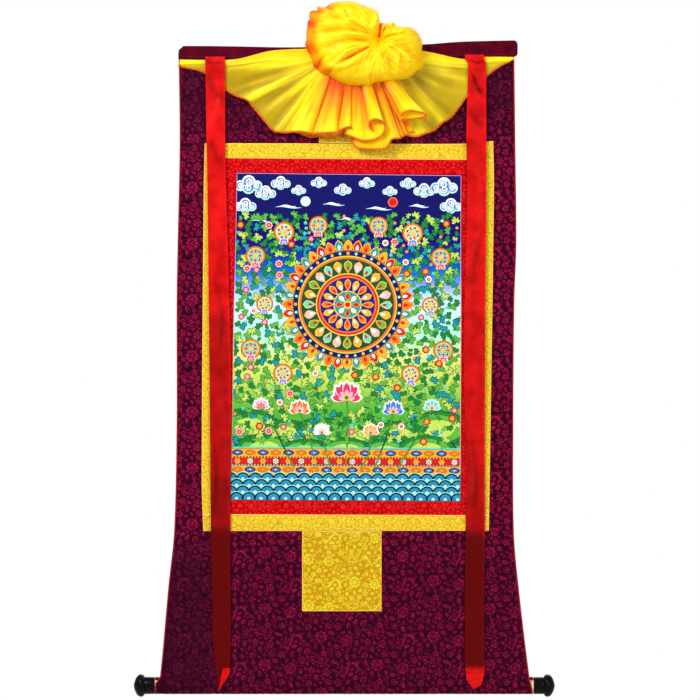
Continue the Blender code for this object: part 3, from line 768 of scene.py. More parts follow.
# Polyester satin: smooth floats, bright along the folds; low down it hangs out of the light
# Its shade colour is painted shade, low down and in the hollows of its folds
RIBBON_SATIN = ClothFinish("satin_ribbon_red", "dc1212", "a80202", thread=0.6, relief=0.08, mottle=30.0,
    roughness=0.45, specular=0.06, shade="560000")
HEM_THREAD = ClothFinish("overlock_thread_orange", "ff9c38", "e84400", thread=0.5, mottle=5.0, roughness=0.6,
    specular=0.1)
GOLD_THREAD = ClothFinish("sewing_thread_gold", "f8c868", "e0a040", thread=0.5, roughness=0.6)
MAROON_THREAD = ClothFinish("sewing_thread_maroon", "7c1040", "500828", thread=0.5, roughness=0.6)
PAINTED = PaintFinish()
SILK = SilkFinish()
PINE = TurnedFinish("planed_pine", "e8cf9c", "c9a468", roughness=0.6)
LACQUER = TurnedFinish("black_lacquered_wood", "040408", "010104", roughness=0.4, coat=0.05, specular=0.07)


# Flat ornament, in millimetres, x to the right and y up


def turned(outline: Array, degrees: float, x: float, y: float) -> Array:
    """An outline turned about the origin, anticlockwise, and then moved."""
    c, s = math.cos(math.radians(degrees)), math.sin(math.radians(degrees))
    return outline @ np.array(((c, s), (-s, c))) + (x, y)


def disc(x: float, y: float, radius: float, sides: int = 10) -> Array:
    """A round outline."""
    angle = np.arange(sides) * math.tau / sides
    return np.stack([x + radius * np.cos(angle), y + radius * np.sin(angle)], axis=1)


def petal(length: float, width: float, sides: int = 8, full: float = 0.62) -> Array:
    """A petal that grows up from the origin and is widest at a share of its length.

    Args:
        length: From its foot to its tip.
        width: Where it is widest.
        sides: How many corners it has.
        full: Where it is widest, as a share of its length.

    Returns:
        Its outline.
    """
    s = np.linspace(0, 1, sides // 2 + 1)
    half = width / 2 * np.sin(math.pi * s ** (math.log(0.5) / math.log(full))) ** 0.7
    left = np.stack([-half, s * length], axis=1)
    right = np.stack([half, s * length], axis=1)[::-1]
    return np.concatenate([left, right[1:-1]])[::-1]


def stroke(path: Array, widths: Array) -> Array:
    """The outline of a brush stroke along a path.

    Args:
        path: Points along it.
        widths: Its width at each point.

    Returns:
        Its outline.
    """
    path = np.asarray(path, float)
    way = np.gradient(path, axis=0)
    way /= np.maximum(np.linalg.norm(way, axis=1, keepdims=True), 1e-9)
    side = np.stack([-way[:, 1], way[:, 0]], axis=1) * np.asarray(widths, float).reshape(-1, 1) / 2
    return np.concatenate([path + side, (path - side)[::-1]])


def spiral(x: float, y: float, outer: float, inner: float, start: float, turns: float,
        steps: int = 12) -> Array:
    """A path that winds in from an outer radius to an inner one.

    Args:
        x: Its middle, across.
        y: Its middle, upwards.
        outer: The radius that it starts from.
        inner: The radius that it ends at.
        start: Its first angle, in degrees.
        turns: How often it goes round.
        steps: How many points it has.

    Returns:
        The path.
    """
    s = np.linspace(0, 1, steps)
    radius = outer + (inner - outer) * s
    angle = math.radians(start) + math.tau * turns * s
    return np.stack([x + radius * np.cos(angle), y + radius * np.sin(angle)], axis=1)


def smooth_path(points: tuple, steps: int = 12) -> Array:
    """A smooth path through a few points."""
    rows = tuple((k, *p) for k, p in enumerate(points))
    return along(rows, np.linspace(0, len(points) - 1, steps))


def flower(x: float, y: float, radius: float, count: int, turn: float, inner: int = 0) -> list[Array]:
    """A flower of separate petals round a heart, with an inner ring where it is double.

    Args:
        x: Its middle, across.
        y: Its middle, upwards.
        radius: How far its petals reach.
        count: How many petals it has.
        turn: The first petal's angle, in degrees.
        inner: How many petals its inner ring has.

    Returns:
        Its outlines.
    """
    heart = radius * (0.2 if inner else 0.28)
    parts = [disc(x, y, heart, 7)]
    rings = [(count, radius, heart * (2.2 if inner else 1.1))]
    if inner:
        rings.append((inner, heart * 2.15, heart * 1.1))
    for many, reach, start in rings:
        width = math.tau * (start + reach) / 2 / many * 1.04
        for k in range(many):
            angle = turn + 360 * k / many
            grown = petal(reach - start, width, 6) + (0, start)
            parts.append(turned(grown, angle - 90, x, y))
    return parts


def leaf_pair(x: float, y: float, length: float, turn: float) -> list[Array]:
    """Two leaf halves with the vein left open between them.

    Args:
        x: Its foot, across.
        y: Its foot, upwards.
        length: From foot to tip.
        turn: Where it points, in degrees.

    Returns:
        Both outlines.
    """
    half = petal(length, length * 0.52, 8, 0.45)
    left = half[half[:, 0] <= 1e-9]
    left = np.concatenate([left, [(-length * 0.03, length * 0.5)]])
    order = np.argsort(np.arctan2(left[:, 1] - length / 2, left[:, 0] + length * 0.1))
    left = left[order]
    right = left * (-1, 1)
    return [turned(left - (length * 0.02, 0), turn - 90, x, y), turned(right + (length * 0.02, 0), turn - 90,
        x, y)]


def cloud(size: float) -> list[Array]:
    """A cloud of three curled heads over a drifting tail.

    Args:
        size: Its reach.

    Returns:
        Its outlines, round the origin.
    """
    parts = []
    for dx, dy, reach, start, turns in ((-0.55, 0.0, 0.34, 200, -1.25), (0.5, -0.02, 0.34, -20, 1.25), (0.0,
            0.38, 0.4, -60, 1.35)):
        path = spiral(dx * size, dy * size, reach * size, reach * size * 0.22, start, turns, 11)
        parts.append(stroke(path, np.linspace(0.13, 0.1, 11) * size))
    tail = smooth_path(((-0.95 * size, -0.42 * size), (-0.3 * size, -0.3 * size), (0.35 * size, -0.48 * size),
        (1.05 * size, -0.36 * size)), 9)
    parts.append(stroke(tail, np.array((0.03, 0.1, 0.15, 0.17, 0.16, 0.15, 0.13, 0.1, 0.03)) * size))
    return parts


def dragon(size: float) -> list[Array]:
    """A coiling dragon: a body in scaled bands, four clawed legs, a horned head and a flaming pearl.

    Args:
        size: Its reach.

    Returns:
        Its outlines, round the origin.
    """
    spine = smooth_path(((-0.95, 0.1), (-0.7, -0.28), (-0.35, -0.2), (-0.12, 0.2), (0.2, 0.34), (0.45, 0.08),
        (0.38, -0.24), (0.08, -0.34)), 33) * size
    width = np.interp(np.linspace(0, 1, 33), (0, 0.15, 0.6, 0.9, 1), (0.03, 0.1, 0.15, 0.12, 0.1)) * size
    parts = [stroke(spine[k:k + 4], width[k:k + 4] * (1, 1.06, 1.06, 1)) for k in range(0, 29, 3)]
    head = np.array(((0.1, -0.3), (-0.02, -0.2), (-0.2, -0.24), (-0.32, -0.36), (-0.2, -0.37), (-0.3, -0.48),
        (-0.12, -0.47), (0.04, -0.42), (0.12, -0.38))) * size
    parts.append(head)
    for bx, by, out in ((-0.5, -0.3, 230), (-0.05, 0.3, 100), (0.42, 0.25, 40), (0.46, -0.12, -20)):
        for spread in (-35, 0, 35):
            claw = petal(0.24 * size, 0.1 * size, 6, 0.4)
            parts.append(turned(claw, out + spread - 90, bx * size, by * size))
    for angle in (150, 190, 235):
        parts.append(turned(petal(0.24 * size, 0.1 * size, 6, 0.35), angle - 90, -0.96 * size, 0.12 * size))
    parts.append(disc(-0.52 * size, -0.02 * size + 0.28 * size, 0.07 * size, 7))
    for angle in (30, 90, 150):
        parts.append(turned(petal(0.13 * size, 0.05 * size, 4, 0.35) + (0, 0.09 * size), angle - 90, -0.52
            * size, 0.26 * size))
    return parts


def scroll(size: float) -> list[Array]:
    """A tendril that curls one way and then the other, with buds.

    Args:
        size: Its reach.

    Returns:
        Its outlines, round the origin.
    """
    first = spiral(-0.35 * size, 0, 0.4 * size, 0.1 * size, 0, 1.2, 10)
    second = spiral(0.42 * size, 0.02 * size, 0.36 * size, 0.1 * size, 180, 1.15, 10)
    taper = np.linspace(0.13, 0.07, 10) * size
    parts = [stroke(first, taper), stroke(second, taper), disc(-0.35 * size, 0, 0.07 * size, 6), disc(0.42
        * size, 0.02 * size, 0.07 * size, 6)]
    for bx, by, angle in ((0.03, 0.3, 90), (0.05, -0.3, 270), (-0.85, 0.1, 150), (0.88, -0.05, -30)):
        parts.append(turned(petal(0.3 * size, 0.14 * size, 6, 0.45), angle - 90, bx * size, by * size))
    return parts


class Motif(Enum):
    """The figures that the cloths are woven with."""

    PEONY = "peony"
    BLOSSOM = "blossom"
    CLOUD = "cloud"
    DRAGON = "dragon"
    SCROLL = "scroll"
    LEAF = "leaf"

    def draw(self, x: float, y: float, size: float, turn: float) -> list[Array]:
        """Draws the motif.

        Args:
            x: Its middle, across.
            y: Its middle, upwards.
            size: Its reach, in millimetres.
            turn: How far it is turned, in degrees.

        Returns:
            Its outlines.
        """
        if self is Motif.PEONY:
            return flower(x, y, size, 9, turn, 6)
        if self is Motif.BLOSSOM:
            return flower(x, y, size, 5, turn)
        if self is Motif.LEAF:
            way = math.radians(turn)
            return leaf_pair(x - size * math.cos(way), y - size * math.sin(way), 2 * size, turn)
        drawn = {Motif.CLOUD: cloud, Motif.DRAGON: dragon, Motif.SCROLL: scroll}[self](size)
        return [turned(part, turn, x, y) for part in drawn]


WIDEST_ON_ONE_POINT = 30


def prisms(outlines: list[Array], low: float, high: float) -> tuple[list, list, list]:
    """Closed thin raised shapes on a flat ground.

    Args:
        outlines: Their outlines in millimetres. Where one is wide, its first half faces its last half,
            and rows of points are set between the two, so that it can follow the cloth.
        low: Where their undersides lie, in millimetres. Under a small shape without hollows that is one point.
        high: Where their tops lie.

    Returns:
        Points in millimetres, faces, and the number of points of each shape.
    """
    points, faces, counts = [], [], []
    for outline in outlines:
        x, y = outline[:, 0], outline[:, 1]
        if np.dot(x, np.roll(y, -1)) < np.dot(y, np.roll(x, -1)):
            outline = outline[::-1]
        n, start = len(outline), len(points)
        half = n // 2
        wide = np.hypot(*(outline[:half] - outline[::-1][:half]).T).max()
        across = int(wide // 9) if n % 2 == 0 else 0
        spread = outline - outline.mean(axis=0)
        after = np.roll(spread, -1, axis=0)
        turning = spread[:, 0] * after[:, 1] - spread[:, 1] * after[:, 0]
        full = turning.min() > 0 and wide < WIDEST_ON_ONE_POINT
        points += [(px, py, high) for px, py in outline]
        if full:
            points.append((*outline.mean(axis=0), low))
            faces += [(start + n, start + (k + 1) % n, start + k) for k in range(n)]
        else:
            points += [(px, py, low) for px, py in outline]
            faces += [(start + n + k, start + n + (k + 1) % n, start + (k + 1) % n, start + k)
                for k in range(n)]
        count = n + 1 if full else 2 * n
        for z, base, way in ((high, 0, 1),) if full else ((high, 0, 1), (low, n, -1)):
            if not across:
                faces.append(tuple(range(start + base, start + base + n))[::way])
                continue
            rungs = []
            for k in range(half):
                rung = [start + base + k]
                for step in range(1, across + 1) if 0 < k < half - 1 else ():
                    px, py = outline[k] + (outline[n - 1 - k] - outline[k]) * step / (across + 1)
                    rung.append(start + count)
                    points.append((px, py, z))
                    count += 1
                rungs.append(rung + [start + base + n - 1 - k])
            faces.append((rungs[0][0], *rungs[1], rungs[0][1])[::way])
            faces += [(a[j], b[j], b[j + 1], a[j + 1])[::way] for a, b in zip(rungs[1:-1], rungs[2:-1])
                for j in range(across + 1)]
            faces.append((rungs[-2][0], *rungs[-1], *rungs[-2][:0:-1])[::way])
        counts.append(count)
    return points, faces, counts


def fill_between(placed: list[tuple], side: float, sizes: tuple, seed: int, tries: int = 900) -> list[tuple]:
    """Small motifs in the gaps of a repeat, clear of what is there and of each other.

    Args:
        placed: Rows of (x, y, reach) that are taken.
        side: The side of the square repeat.
        sizes: The reaches to try, the largest first.
        seed: For the fixed draw.
        tries: How many places are tried for each size.

    Returns:
        Rows of (x, y, reach, turn).
    """
    draw = np.random.default_rng(seed)
    taken, found = np.array(placed, float), []
    for reach in sizes:
        for x, y, turn in zip(*(draw.random((3, tries)) * np.array(((side,), (side,), (360,))))):
            away = np.abs(taken[:, :2] - (x, y)) % side
            if (np.hypot(*np.minimum(away, side - away).T) - taken[:, 2] - reach).min() > -0.4:
                taken = np.concatenate([taken, [(x, y, reach)]])
                found.append((x, y, reach, turn))
    return found


@dataclass
class Repeat:
    """One square repeat of a woven figure."""

    name: str
    side: float
    motifs: tuple
    small: tuple
    seed: int
    relief: float = 0.2

    def outlines(self) -> list[Array]:
        """Every outline of the repeat: the set motifs, and small ones between them.

        Returns:
            The outlines.
        """
        parts = []
        for motif, x, y, reach, turn in self.motifs:
            parts += motif.draw(x, y, reach, turn)
        kinds = (Motif.LEAF, Motif.BLOSSOM, Motif.LEAF)
        spots = [(*(a + b) / 2, math.hypot(*(a - b)) / 2) for p in parts for a, b in zip(p[:len(p) // 2],
            p[::-1])]
        for k, (x, y, reach, turn) in enumerate(fill_between(spots, self.side, self.small, self.seed)):
            parts += kinds[k % len(kinds)].draw(x, y, reach * 0.95, turn)
        return parts

    def lay(self, recipe: Recipe, name: str, region: "Region", finish: Finish, lift: float,
            shift: tuple = (0.0, 0.0)) -> Object:
        """Weaves the repeat over a piece of cloth.

        Args:
            recipe: The tree that lays out the repeats.
            name: The new piece's name.
            region: The piece of cloth, with its four edges.
            finish: What the figure is woven in.
            lift: The cloth's front face, in millimetres in front of its back.
            shift: Where the repeat starts, in millimetres.

        Returns:
            The figure as one object of closed raised shapes, with a tone that holds painted shade.
        """
        points, faces, counts = prisms(self.outlines(), -0.3, self.relief)
        holder = put_in(self.name, plain_mesh(self.name, points, faces))
        x0, x1, d0, d1 = region.reach()
        mesh = recipe.run(bpy.data.meshes.new("start"), Repeat=holder, Pitch=self.side, Columns=int((x1 - x0)
            // self.side) + 3, Rows=int((d1 - d0) // self.side) + 3, Finish=finish.material())
        bpy.data.objects.remove(holder)
        co = points_of(mesh)
        corners = [tuple(face.vertices) for face in mesh.polygons]
        bpy.data.meshes.remove(mesh)
        x, drop = region.inside(co[:, 0] + (x0 + x1) / 2 + shift[0], -co[:, 1] + (d0 + d1) / 2 + shift[1])
        kinds = len(counts)
        island = np.repeat(np.arange(kinds), counts)
        copies = len(co) // len(island)
        island = np.tile(island, copies) + np.repeat(np.arange(copies), len(island)) * kinds
        kept = self.large_enough(x, drop, island, copies * kinds)
        used = np.flatnonzero(kept[island])
        number = np.full(len(co), -1)
        number[used] = np.arange(len(used))
        corners = [number[list(c)].tolist() for c in corners if kept[island[c[0]]]]
        x, drop = x[used], drop[used]
        # Tone: each motif's own uneven tone, and painted shade at the top under the veil, towards the lower
        # left and along the bottom
        uneven = np.random.default_rng(self.seed).random(kinds)[island[used] % kinds]
        low_left = ease((-210 - x) / 110) * ease((drop - 900) / 200)
        tone = (0.6 * uneven + 0.7 * ease((250 - drop) / 160) + 0.5 * low_left + 0.3 * ease((drop - 940)
            / 120))
        return make_object(name, on_cloth(x, drop, lift + co[used, 2]), corners, finish, np.stack([x, -drop],
            axis=1) * MM, {TONE: np.clip(tone, 0, 1)}, smooth=False)

    @staticmethod
    def large_enough(x: Array, drop: Array, island: Array, many: int) -> Array:
        """Whether each shape still has a width and a height after it was cut at the seams.

        Args:
            x: Each point's place across.
            drop: Each point's place down.
            island: The number of each point's shape.
            many: How many shapes there are.

        Returns:
            One truth for each shape.
        """
        sides = []
        for values in (x, drop):
            low, high = np.full(many, 1e9), np.full(many, -1e9)
            np.minimum.at(low, island, values)
            np.maximum.at(high, island, values)
            sides.append(high - low)
        return np.minimum(*sides) > 0.35


@dataclass
class Region:
    """A piece of cloth between four lines: two down and two across, or four fixed sides."""

    left: str | float
    right: str | float
    above: str | float
    below: str | float

    def side(self, line: str | float, at: Array, down: bool) -> Array:
        """Where an edge lies, on its seam line or at its fixed place.

        Args:
            line: A seam line's name, or a fixed place.
            at: Where along it.
            down: Whether it runs down the cloth.

        Returns:
            Its places.
        """
        if isinstance(line, str):
            return seam_x(line, at) if down else seam_drop(line, at)
        return np.full(np.shape(at), float(line))

    def net(self, u: Array, v: Array, gap: float = SEAM_GAP / 2) -> tuple[Array, Array]:
        """Places on the cloth from shares across and down.

        Args:
            u: Shares from the left edge to the right one.
            v: Shares from the upper edge to the lower one.
            gap: How far the cloth ends before each seam line.

        Returns:
            x and drop, in millimetres.
        """
        x = np.zeros(np.broadcast(u, v).shape)
        for _ in range(4):
            top, low = self.side(self.above, x, False) + gap, self.side(self.below, x, False) - gap
            drop = top + (low - top) * v
            left, right = self.side(self.left, drop, True) + gap, self.side(self.right, drop, True) - gap
            x = left + (right - left) * u
        return x, drop

    def reach(self) -> tuple[float, float, float, float]:
        """Lowest and highest x and drop.

        Returns:
            All four, in millimetres.
        """
        u, v = np.meshgrid(np.linspace(0, 1, 9), np.linspace(0, 1, 9))
        x, drop = self.net(u, v)
        return x.min(), x.max(), drop.min(), drop.max()

    def inside(self, x: Array, drop: Array, margin: float = 0.5) -> tuple[Array, Array]:
        """Places cut back to the cloth, a margin inside its edges.

        Args:
            x: Places across.
            drop: Places down.
            margin: In millimetres.

        Returns:
            The places across and down.
        """
        for _ in range(2):
            x = np.clip(x, self.side(self.left, drop, True) + margin, self.side(self.right, drop, True)
                - margin)
            drop = np.clip(drop, self.side(self.above, x, False) + margin, self.side(self.below, x, False)
                - margin)
        return x, drop

    def sheet(self, name: str, thickness: float, finish: Finish, lift: float = 0.0,
            step: float = 7.0) -> Object:
        """The cloth itself as a thin closed sheet with softly rounded edges.

        Args:
            name: The piece's name.
            thickness: In millimetres.
            finish: What it is made of.
            lift: Where its back lies, in millimetres.
            step: The mesh's spacing in millimetres.

        Returns:
            The object.
        """
        x0, x1, d0, d1 = self.reach()
        lines = []
        for long in (x1 - x0, d1 - d0):
            edge = np.array((0.0, 0.35, 0.9, 1.8)) / long
            middle = np.linspace(2.6 / long, 1 - 2.6 / long, max(int(long / step), 3))
            lines.append(np.concatenate([edge, middle, 1 - edge[::-1]]))
        u, v = np.meshgrid(*lines)
        x, drop = self.net(u, v, 0.0)
        near = np.minimum(np.minimum(u, 1 - u) * (x1 - x0), np.minimum(v, 1 - v) * (d1 - d0))
        round_off = thickness * 0.45 * np.exp(-(near / 0.5) ** 1.5)
        shape = (*x.shape, 3)
        front = on_cloth(x, drop, lift + thickness - round_off).reshape(shape)
        points, faces = closed_sheet(front, on_cloth(x, drop, lift).reshape(shape))
        flat = np.stack([x.ravel(), -drop.ravel()], axis=1) * MM
        return make_object(name, points, faces, finish, np.tile(flat, (2, 1)),
            {SEAM_DISTANCE: np.tile(near.ravel(), 2)})

    def flat_size(self) -> tuple[float, float]:
        """The cut's width and length, in metres."""
        x0, x1, d0, d1 = self.reach()
        return (x1 - x0) * MM, (d1 - d0) * MM

    def area(self) -> float:
        """The cut's area, in square metres.

        Returns:
            The area.
        """
        u, v = np.meshgrid(np.linspace(0, 1, 41), np.linspace(0, 1, 41))
        x, drop = self.net(u, v)
        a = np.diff(x, axis=1)[:-1] * np.diff(drop, axis=0)[:, :-1]
        return float(a.sum()) * MM * MM


PICTURE = Region("picture_left", "picture_right", "picture_top", "picture_bottom")
DAMASK = Repeat("damask_repeat", 112.0, ((Motif.DRAGON, 32, 82, 31, 12), (Motif.PEONY, 85, 90, 13, 10),
    (Motif.PEONY, 24, 27, 12.5, 40), (Motif.CLOUD, 76, 46, 15, -8), (Motif.SCROLL, 58, 12, 12, 25),
    (Motif.BLOSSOM, 95, 20, 9, 5), (Motif.BLOSSOM, 7, 55, 8, 30), (Motif.SCROLL, 104, 62, 10, 80),
    (Motif.BLOSSOM, 46, 44, 8, 70),), (7.5, 5.6, 4.2, 3.2, 2.4), 11)
SMALL_BROCADE = Repeat("brocade_repeat", 46.0, ((Motif.BLOSSOM, 12, 12, 5.6, 10), (Motif.CLOUD, 33, 15, 6.5,
    5), (Motif.BLOSSOM, 36, 37, 5.0, 50), (Motif.SCROLL, 13, 34, 6.0, 40),), (3.4, 2.6), 5, 0.15)
PATCH_BROCADE = Repeat("patch_repeat", 92.0, ((Motif.DRAGON, 30, 66, 27, -10), (Motif.PEONY, 72, 70, 12, 0),
    (Motif.CLOUD, 66, 24, 14, 12), (Motif.PEONY, 20, 20, 11, 20), (Motif.BLOSSOM, 44, 36, 6.5, 30),
    (Motif.SCROLL, 42, 8, 8, 60),), (5.6, 4.4, 3.2, 2.3), 7, 0.2)


@dataclass
class Sewn:
    """What the sewn pieces share: the trees that weave and stitch."""

    repeat: Recipe
    stitch: Recipe
    threads: dict = field(default_factory=dict)

    def thread(self, kind: str, length: float, radius: float) -> Object:
        """A short thread that lies along +X and dips at both ends, kept to be instanced.

        Args:
            kind: Its name.
            length: In millimetres, as the radius.
            radius: Its radius in the middle.

        Returns:
            The object, made by the first call.
        """
        if kind not in self.threads:
            ring, share = np.meshgrid(np.arange(4) * math.tau / 4, np.linspace(0, 1, 4))
            thick = radius * np.sin(math.pi * (0.12 + 0.76 * share)) ** 0.5
            points = np.stack([(share - 0.5) * length, thick * np.cos(ring), thick * np.sin(ring)], axis=2)
            faces = tube_faces(4, 4)[:, [0, 3, 2, 1]].tolist() + [(3, 2, 1, 0), (12, 13, 14, 15)]
            self.threads[kind] = put_in(kind, plain_mesh(kind, points.reshape(-1, 3) * MM, faces))
        return self.threads[kind]

    def sew(self, name: str, lines: list[Array], pitch: float, thread: Object, finish: Finish) -> Object:
        """Rows of stitches.

        Args:
            name: The new piece's name.
            lines: Lines of points in metres.
            pitch: From one stitch to the next, in millimetres.
            thread: One stitch.
            finish: What it is made of.

        Returns:
            The stitches as one object.
        """
        points, edges = [], []
        for line in lines:
            edges += [(len(points) + k, len(points) + k + 1) for k in range(len(line) - 1)]
            points += line.tolist()
        base = plain_mesh("line", points, edges=edges)
        mesh = self.stitch.run(base, Stitch=thread, Pitch=pitch * MM, Finish=finish.material())
        mesh.shade_smooth()
        return put_in(name, mesh)

    def clear(self) -> None:
        """Takes the kept threads out of the scene."""
        for thing in self.threads.values():
            bpy.data.objects.remove(thing)


@dataclass
class Ground:
    """The damask ground: four panels, each with its woven figure, and the bound side edges."""

    sewn: Sewn
    figure_shift: float = 31.0
    tape_thickness: float = 2.0
    panels: tuple = (("top_panel", Region("ground_left", "ground_right", "heading_seam", "yellow_top")),
        ("side_panel_left", Region("ground_left", "yellow_left", "yellow_top", "yellow_bottom")),
        ("side_panel_right", Region("yellow_right", "ground_right", "yellow_top", "yellow_bottom")),
        ("bottom_panel", Region("ground_left", "ground_right", "yellow_bottom", "wrap_end")))

    def build(self) -> None:
        """Makes the panels and the bindings."""
        for side, left, right in (("left", "edge_left", "ground_left"), ("right", "ground_right",
                "edge_right")):
            region = Region(left, right, "heading_seam", "wrap_end")
            tape = region.sheet(f"binding_{side}", self.tape_thickness, BINDING_TAPE)
            adopt(tape, "red_binding", f"edge_binding_{side}")
        for k, (name, region) in enumerate(self.panels):
            cloth = region.sheet(name + "_damask", CLOTH_THICKNESS, DAMASK_GROUND)
            shift = (k * self.figure_shift, k * self.figure_shift / 2)
            figure = DAMASK.lay(self.sewn.repeat, name + "_figure", region, DAMASK_FIGURE, CLOTH_THICKNESS,
                shift)
            adopt(cloth, "maroon_damask", name)
            adopt(figure, "maroon_damask")
            region.flat_size()
            region.area()


@dataclass
class Frames:
    """The two brocade frames round the picture, and the patches, with their stitched edges."""

    sewn: Sewn
    thickness: float = 1.9
    patch_thickness: float = 1.1
    door: tuple = (-90.5, 67.8, 968.8, 1128.2)
    top: tuple = (-57, 53, 112, 193.6)
    stitch_inset: float = 1.2
    stitch_lift: float = 0.15

    def build(self) -> None:
        """Makes the eight strips, the two patches and the stitching."""
        for colour, inner, ground, figure in (("yellow", "red", YELLOW_GROUND, YELLOW_FIGURE), ("red",
                "picture", RED_GROUND, RED_FIGURE)):
            left, right, top, bottom = self.lines(colour)
            in_left, in_right, in_top, in_bottom = self.lines(inner)
            strips = {"top": (left, right, top, in_top), "left": (left, in_left, in_top, in_bottom),
                "right": (in_right, right, in_top, in_bottom), "bottom": (left, right, in_bottom, bottom)}
            for k, (side, lines) in enumerate(strips.items()):
                self.strip(f"{colour}_strip_{side}", Region(*lines), SMALL_BROCADE, ground, figure,
                    f"{colour}_brocade", (k * 17.0, k * 11.0))
        for node, sides, shift in (("door_patch", self.door, (0.0, 0.0)), ("top_patch", self.top, (9.0,
                20.0))):
            self.strip(node, Region(*sides), PATCH_BROCADE, PATCH_GROUND, PATCH_FIGURE, "yellow_brocade",
                shift, self.patch_thickness, self.thickness)
        self.stitches()

    @staticmethod
    def lines(colour: str) -> tuple:
        """The four seam lines of a frame, or of the picture."""
        return tuple(f"{colour}_{side}" for side in ("left", "right", "top", "bottom"))

    def strip(self, node: str, region: Region, repeat: Repeat, ground: ClothFinish, figure: ClothFinish,
            slot: str, shift: tuple, thickness: float = thickness, lift: float = 0.0) -> None:
        """One strip or patch with its woven figure.

        Args:
            node: The CAD node that it stands for.
            region: Its four edges.
            repeat: Its figure.
            ground: The ground's finish.
            figure: The figure's finish.
            slot: The material slot.
            shift: Where the repeat starts, in millimetres.
            thickness: In millimetres, as the lift.
            lift: Where its back lies.
        """
        cloth = region.sheet(node + "_cloth", thickness, ground, lift, 6.0)
        woven = repeat.lay(self.sewn.repeat, node + "_figure", region, figure, lift + thickness, shift)
        adopt(cloth, slot, node)
        adopt(woven, slot)
        region.flat_size()
        region.area()

    def stitches(self) -> None:
        """Runs of stitches just inside the strips' and the door patch's edges."""
        thread = self.sewn.thread("running_stitch", 2.6, 0.28)
        rows, share = [], np.linspace(0, 1, 60)
        low, high = self.thickness + self.stitch_lift, self.thickness + self.patch_thickness + self.stitch_lift
        for sides, lift, inset in ((self.lines("yellow"), low, self.stitch_inset), (self.lines("red"), low,
                -self.stitch_inset), (self.door, high, self.stitch_inset)):
            for u, v in ((share, 0), (share, 1), (0, share), (1, share)):
                u, v = np.broadcast_arrays(np.asarray(u, float), np.asarray(v, float))
                rows.append(on_cloth(*Region(*sides).net(u, v, inset), lift))
        adopt(self.sewn.sew("frame_stitches", rows, 5.0, thread, GOLD_THREAD), "yellow_brocade")


class Hue(Enum):
    """Mineral colours of the picture."""

    NIGHT = "181c7c"
    NAVY = "0e0e5c"
    SKY = "2f74c8"
    PALE = "bfe0ea"
    CREAM = "c8d478"
    COTTON = "d6c8a4"
    WHITE = "f6f4ec"
    PINK = "f2a8b8"
    ROSE = "d8305c"
    RED = "c01c20"
    ORANGE = "ee6a1c"
    AMBER = "f7a02a"
    GOLD = "e8b838"
    OCHRE = "a8701c"
    BROWN = "6a3414"
    LEAF = "1c7a30"
    GRASS = "58a838"
    LIME = "b4cc58"
    DEEP = "0c4a30"
    TEAL = "18908c"
    AQUA = "48ccb8"
    MINT = "a4e4c4"

    @property
    def linear(self) -> tuple:
        """The colour as linear values."""
        return linear(self.value)


@dataclass
class PaintedShapes:
    """Painted shapes in the order that they are laid down, each a hair above the last."""

    rows: list = field(default_factory=list)

    def add(self, outline: Array, hue: Hue, level: float) -> None:
        """One shape with its colour, and its height in millimetres above the canvas."""
        self.rows.append((outline, hue, level))

    def ring(self, x: float, y: float, inner: float, outer: float, count: int, hues: tuple, level: float,
            width: float = 0.9, turn: float = 0.0, full: float = 0.62) -> None:
        """A ring of petals that point outwards, each with a pale rim and a small heart.

        Args:
            x: The ring's centre.
            y: The ring's centre.
            inner: Where the petals start, in millimetres from the centre.
            outer: Where they end.
            count: How many there are.
            hues: Their hues by turns.
            level: Their height above the canvas, in millimetres.
            width: The share of the ring that they fill.
            turn: The first one's place, in degrees.
            full: Where they are widest, as a share of their length.
        """
        wide = math.tau * (inner + outer) / 2 / count * width
        for k in range(count):
            angle = turn + 360 * k / count - 90
            hue = hues[k % len(hues)]
            for share, colour, rise in ((1.0, Hue.BROWN, 0.0), (0.92, Hue.GOLD, 0.012), (0.78, hue, 0.024)):
                grown = petal((outer - inner) * share, wide * share, 10, full)
                grown = grown + (0, inner + (outer - inner) * (1 - share) / 2)
                self.add(turned(grown, angle, x, y), colour, level + rise)
            heart = petal((outer - inner) * 0.4, wide * 0.34, 6, full) + (0, inner + (outer - inner) * 0.2)
            self.add(turned(heart, angle, x, y), Hue.WHITE if k % 2 else Hue.RED, level + 0.038)

    def discs(self, x: float, y: float, *rows: tuple) -> None:
        """Discs on one centre, as rows of radius, sides, hue and level."""
        for radius, sides, hue, level in rows:
            self.add(disc(x, y, radius, sides), hue, level)

    def mesh(self, name: str) -> Mesh:
        """The shapes as closed thin prisms in flat millimetres, with their paint.

        Args:
            name: The mesh's name.

        Returns:
            The mesh.
        """
        points, faces, paint = [], [], []
        for outline, hue, level in self.rows:
            more, sides, _ = prisms([outline], -0.2, level)
            faces += [tuple(k + len(points) for k in side) for side in sides]
            points += more
            paint += [hue.linear] * len(more)
        made = plain_mesh(name, points, faces)
        store(made, PAINT, "FLOAT_COLOR", paint)
        return made


